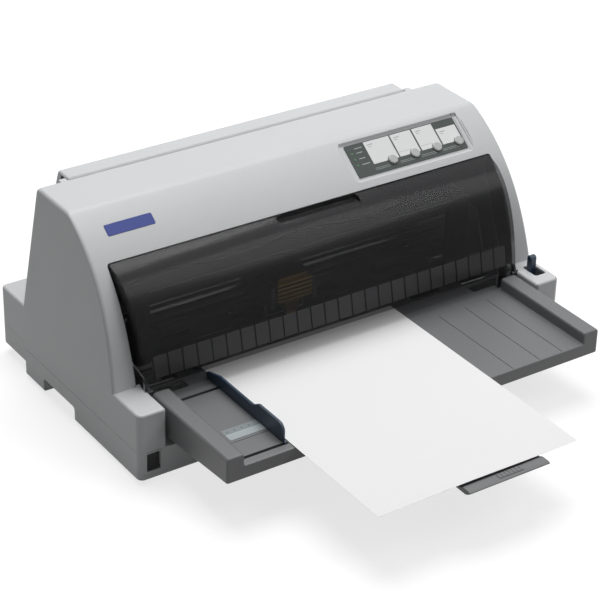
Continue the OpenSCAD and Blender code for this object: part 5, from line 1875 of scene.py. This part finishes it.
@dataclass
class Mechanism:
    """The CAD nodes that keep their own shape: each gets a finish and softened edges."""

    edge: float = 0.25
    deck: tuple[float, float, float, float] = (-186.0, 122.0, 105.0, 170.0)
    deck_levels: tuple[float, float] = (138.0, 138.8)
    # A pale ridge along the cartridge's front, which paints a highlight line on its edge
    highlight_ridge: tuple[float, float] = (129.7, 131.1)
    highlight_ridge_face: float = 100.0
    # Bright strips on the upper paper guide, which paint highlight lines in its shade
    guide_strips: tuple[tuple[float, float], ...] = ((-150.0, -112.0), (86.0, 134.0))
    guide_line: tuple[float, float, float] = (165.0, 166.6, 63.3)
    finishes: tuple[tuple[Finish, tuple[str, ...]], ...] = (
        (SHEET_STEEL, ("base_frame", "side_frame_left", "side_frame_right", "rear_rail")),
        (SHEET_STEEL, ("ribbon_mask", "screws")),
        (BRIGHT_STEEL, ("platen_shaft", "front_feed_shaft", "rear_feed_shaft", "carriage_shaft")),
        (BRIGHT_STEEL, ("tractor_drive_shaft", "tractor_support_shaft")),
        (ROLLER_RUBBER, ("platen_roller", "front_feed_rollers", "rear_feed_rollers")),
        (NYLON, ("platen_bushes", "platen_gear", "front_idler_gear", "rear_idler_gear", "idler_pulley")),
        (INNER_GREY_PAINTED_LIGHT, ("front_pinch_roller", "rear_pinch_roller", "lower_paper_guide", "upper_paper_guide")),
        (INNER_GREY_PAINTED_LIGHT, ("carriage", "left_tractor", "right_tractor")),
        (INNER_BLACK_PAINTED_LIGHT, ("ribbon_cartridge", "rear_connectors", "hinge_pins")),
        (MOTOR_GREY, ("feed_motor", "carriage_drive")),
        (BRASS, ("feed_pinion", "motor_pulley")),
        (HEAD_GOLD, ("print_head",)),
        (DEEP_BLUE, ("ribbon_knob",)),
        (RIBBON, ("ink_ribbon",)),
        (BELT, ("drive_belts",)),
        (BOARD_GREEN, ("circuit_boards",)),
    )

    def trim(self) -> None:
        """Details on standing parts: the cartridge's pale deck, and painted highlight lines: a pale front
        ridge on the cartridge and bright strips on the guide.
        """
        x0, x1, y0, y1 = self.deck
        deck = block((x0, y0, self.deck_levels[0]), (x1, y1, self.deck_levels[1]), 0.3, 2.0)
        settle(deck.object("cartridge_deck"), "root", DECK_GREY)
        # Painted highlight: a pale ridge on the cartridge's front edge
        (low, high), face = self.highlight_ridge, self.highlight_ridge_face
        outline = [(face + 0.2, low), (face - 0.7, low + 0.3), (face - 0.7, high - 0.3), (face + 0.2, high)]
        settle(prism(outline, x0, -x0, Along.X, (0.2, 0.2), 2).object("cartridge_highlight_ridge"), "root", DECK_GREY)
        # Painted highlights: bright strips on the upper paper guide
        front, back, top = self.guide_line
        highlight_strips = [block((a, front, top - 0.2), (b, back, top + 0.7), 0.2, 0.5) for a, b in self.guide_strips]
        settle((highlight_strips[0] + highlight_strips[1]).object("guide_strips"), "root", BRIGHT_STEEL)

    def build(self) -> None:
        """Dresses each node, with a Weld that joins its loose triangles before the edges are softened."""
        self.trim()
        for finish, names in self.finishes:
            for name in names:
                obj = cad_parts[name]
                obj.data.materials.clear()
                obj.data.materials.append(finish.material())
                weld = obj.modifiers.new("joined_triangles", "WELD")
                weld.merge_threshold = NODE_WELD
                soften(obj, self.edge)
                LOG.info("%s: dressed", name)


# ---------- the studio ----------


@dataclass
class Lamp:
    """A soft square light, aimed at a point."""

    name: str
    place: tuple[float, float, float]
    size: float
    power: float
    aim: tuple[float, float, float] = (0.0, 0.0, 0.1)

    def build(self) -> None:
        """Makes the light and turns it to its aim."""
        data = bpy.data.lights.new(self.name, "AREA")
        data.shape, data.size, data.energy = "SQUARE", self.size, self.power
        obj = bpy.data.objects.new(self.name, data)
        obj.location = self.place
        obj.rotation_euler = (Vector(self.aim) - Vector(self.place)).to_track_quat("-Z", "Y").to_euler()
        bpy.context.scene.collection.objects.link(obj)


@dataclass
class Studio:
    """White floor, soft lights, plain world and the camera."""

    camera_at: tuple[float, float, float] = (-1.01117, -1.38333, 1.08719)
    right: tuple[float, float, float] = (0.82951267, -0.55808553, 0.02119598)
    up: tuple[float, float, float] = (0.26206409, 0.42247366, 0.86766262)
    focal_pixels: float = 2118.6
    frame_pixels: float = 600.0
    sensor: float = 36.0
    world_strength: float = 0.10
    floor_tones: tuple[float, float] = (0.36, 0.38)
    floor_glow: float = 0.74
    floor_half: float = 7.0
    lamps: tuple[Lamp, ...] = (
        Lamp("key_light", (1.5, -1.3, 2.3), 1.5, 17.0),
        Lamp("top_light", (0.3, 0.75, 2.7), 1.9, 66.0),
    )

    def camera(self) -> None:
        """The camera, its axes as columns: right, up and backwards."""
        data = bpy.data.cameras.new("photo_camera")
        data.sensor_width = self.sensor
        data.lens = self.focal_pixels * self.sensor / self.frame_pixels
        data.clip_end = 50.0
        obj = bpy.data.objects.new("photo_camera", data)
        right, up = Vector(self.right), Vector(self.up)
        turn = Matrix((right, up, right.cross(up))).transposed().to_4x4()
        obj.matrix_world = Matrix.Translation(self.camera_at) @ turn
        bpy.context.scene.collection.objects.link(obj)
        bpy.context.scene.camera = obj

    def seen(self, board: Board) -> Wire:
        """One for rays that show the background: the camera's, and those in gloss and clear parts.

        Args:
            board: the board that the nodes go on.
        Returns:
            The mask.
        """
        path = board.node("ShaderNodeLightPath")
        direct = path.out("Is Camera Ray").either(path.out("Is Glossy Ray"))
        return direct.either(path.out("Is Transmission Ray"))

    def floor(self) -> None:
        """A white floor that glows a little for the camera, so that only the object's shadow shows on it."""
        board = Board(bpy.data.materials.new("studio_floor"))
        fleck = board.noise(board.place(), 3.0)
        low, high = self.floor_tones
        tone = board.mix(fleck, (low, low, low), (high, high, high))
        matt = board.node("ShaderNodeBsdfDiffuse", {}, {"Color": tone})
        glow = board.node("ShaderNodeEmission", {}, {"Color": (1.0, 1.0, 1.0), "Strength": self.floor_glow})
        both = board.node("ShaderNodeAddShader", {}, {0: matt, 1: glow})
        mixed = board.node("ShaderNodeMixShader", {}, {0: self.seen(board), 1: matt, 2: both})
        material = board.finish(mixed)
        corners = [(x, y, 0) for x, y in centred(2 * self.floor_half, 2 * self.floor_half)]
        mesh = bpy.data.meshes.new("studio_floor")
        mesh.from_pydata(corners, [], [(0, 1, 2, 3)])
        mesh.materials.append(material)
        obj = bpy.data.objects.new("studio_floor", mesh)
        bpy.context.scene.collection.objects.link(obj)

    def world(self) -> None:
        """A dim world that looks white where it shows."""
        board = Board(bpy.data.worlds.new("studio_world"))
        strength = self.seen(board) * (1 - self.world_strength) + self.world_strength
        light = board.node("ShaderNodeBackground", {}, {"Color": (1.0, 1.0, 1.0), "Strength": strength})
        bpy.context.scene.world = board.finish(light, "ShaderNodeOutputWorld")

    def build(self) -> None:
        """Sets up the studio."""
        self.camera()
        self.floor()
        self.world()
        for lamp in self.lamps:
            lamp.build()
        bpy.context.scene.view_settings.view_transform = "Standard"


def main() -> None:
    """Sets up the studio, then builds and dresses every sub-assembly."""
    logging.basicConfig(level=logging.INFO, format="%(message)s")
    Studio().build()
    case = Case()
    case.build()
    FrontCover().build()
    RearCover().build()
    Tray().build()
    Controls(case).build()
    Mechanism().build()
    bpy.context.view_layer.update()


if __name__ == "__main__":
    main()
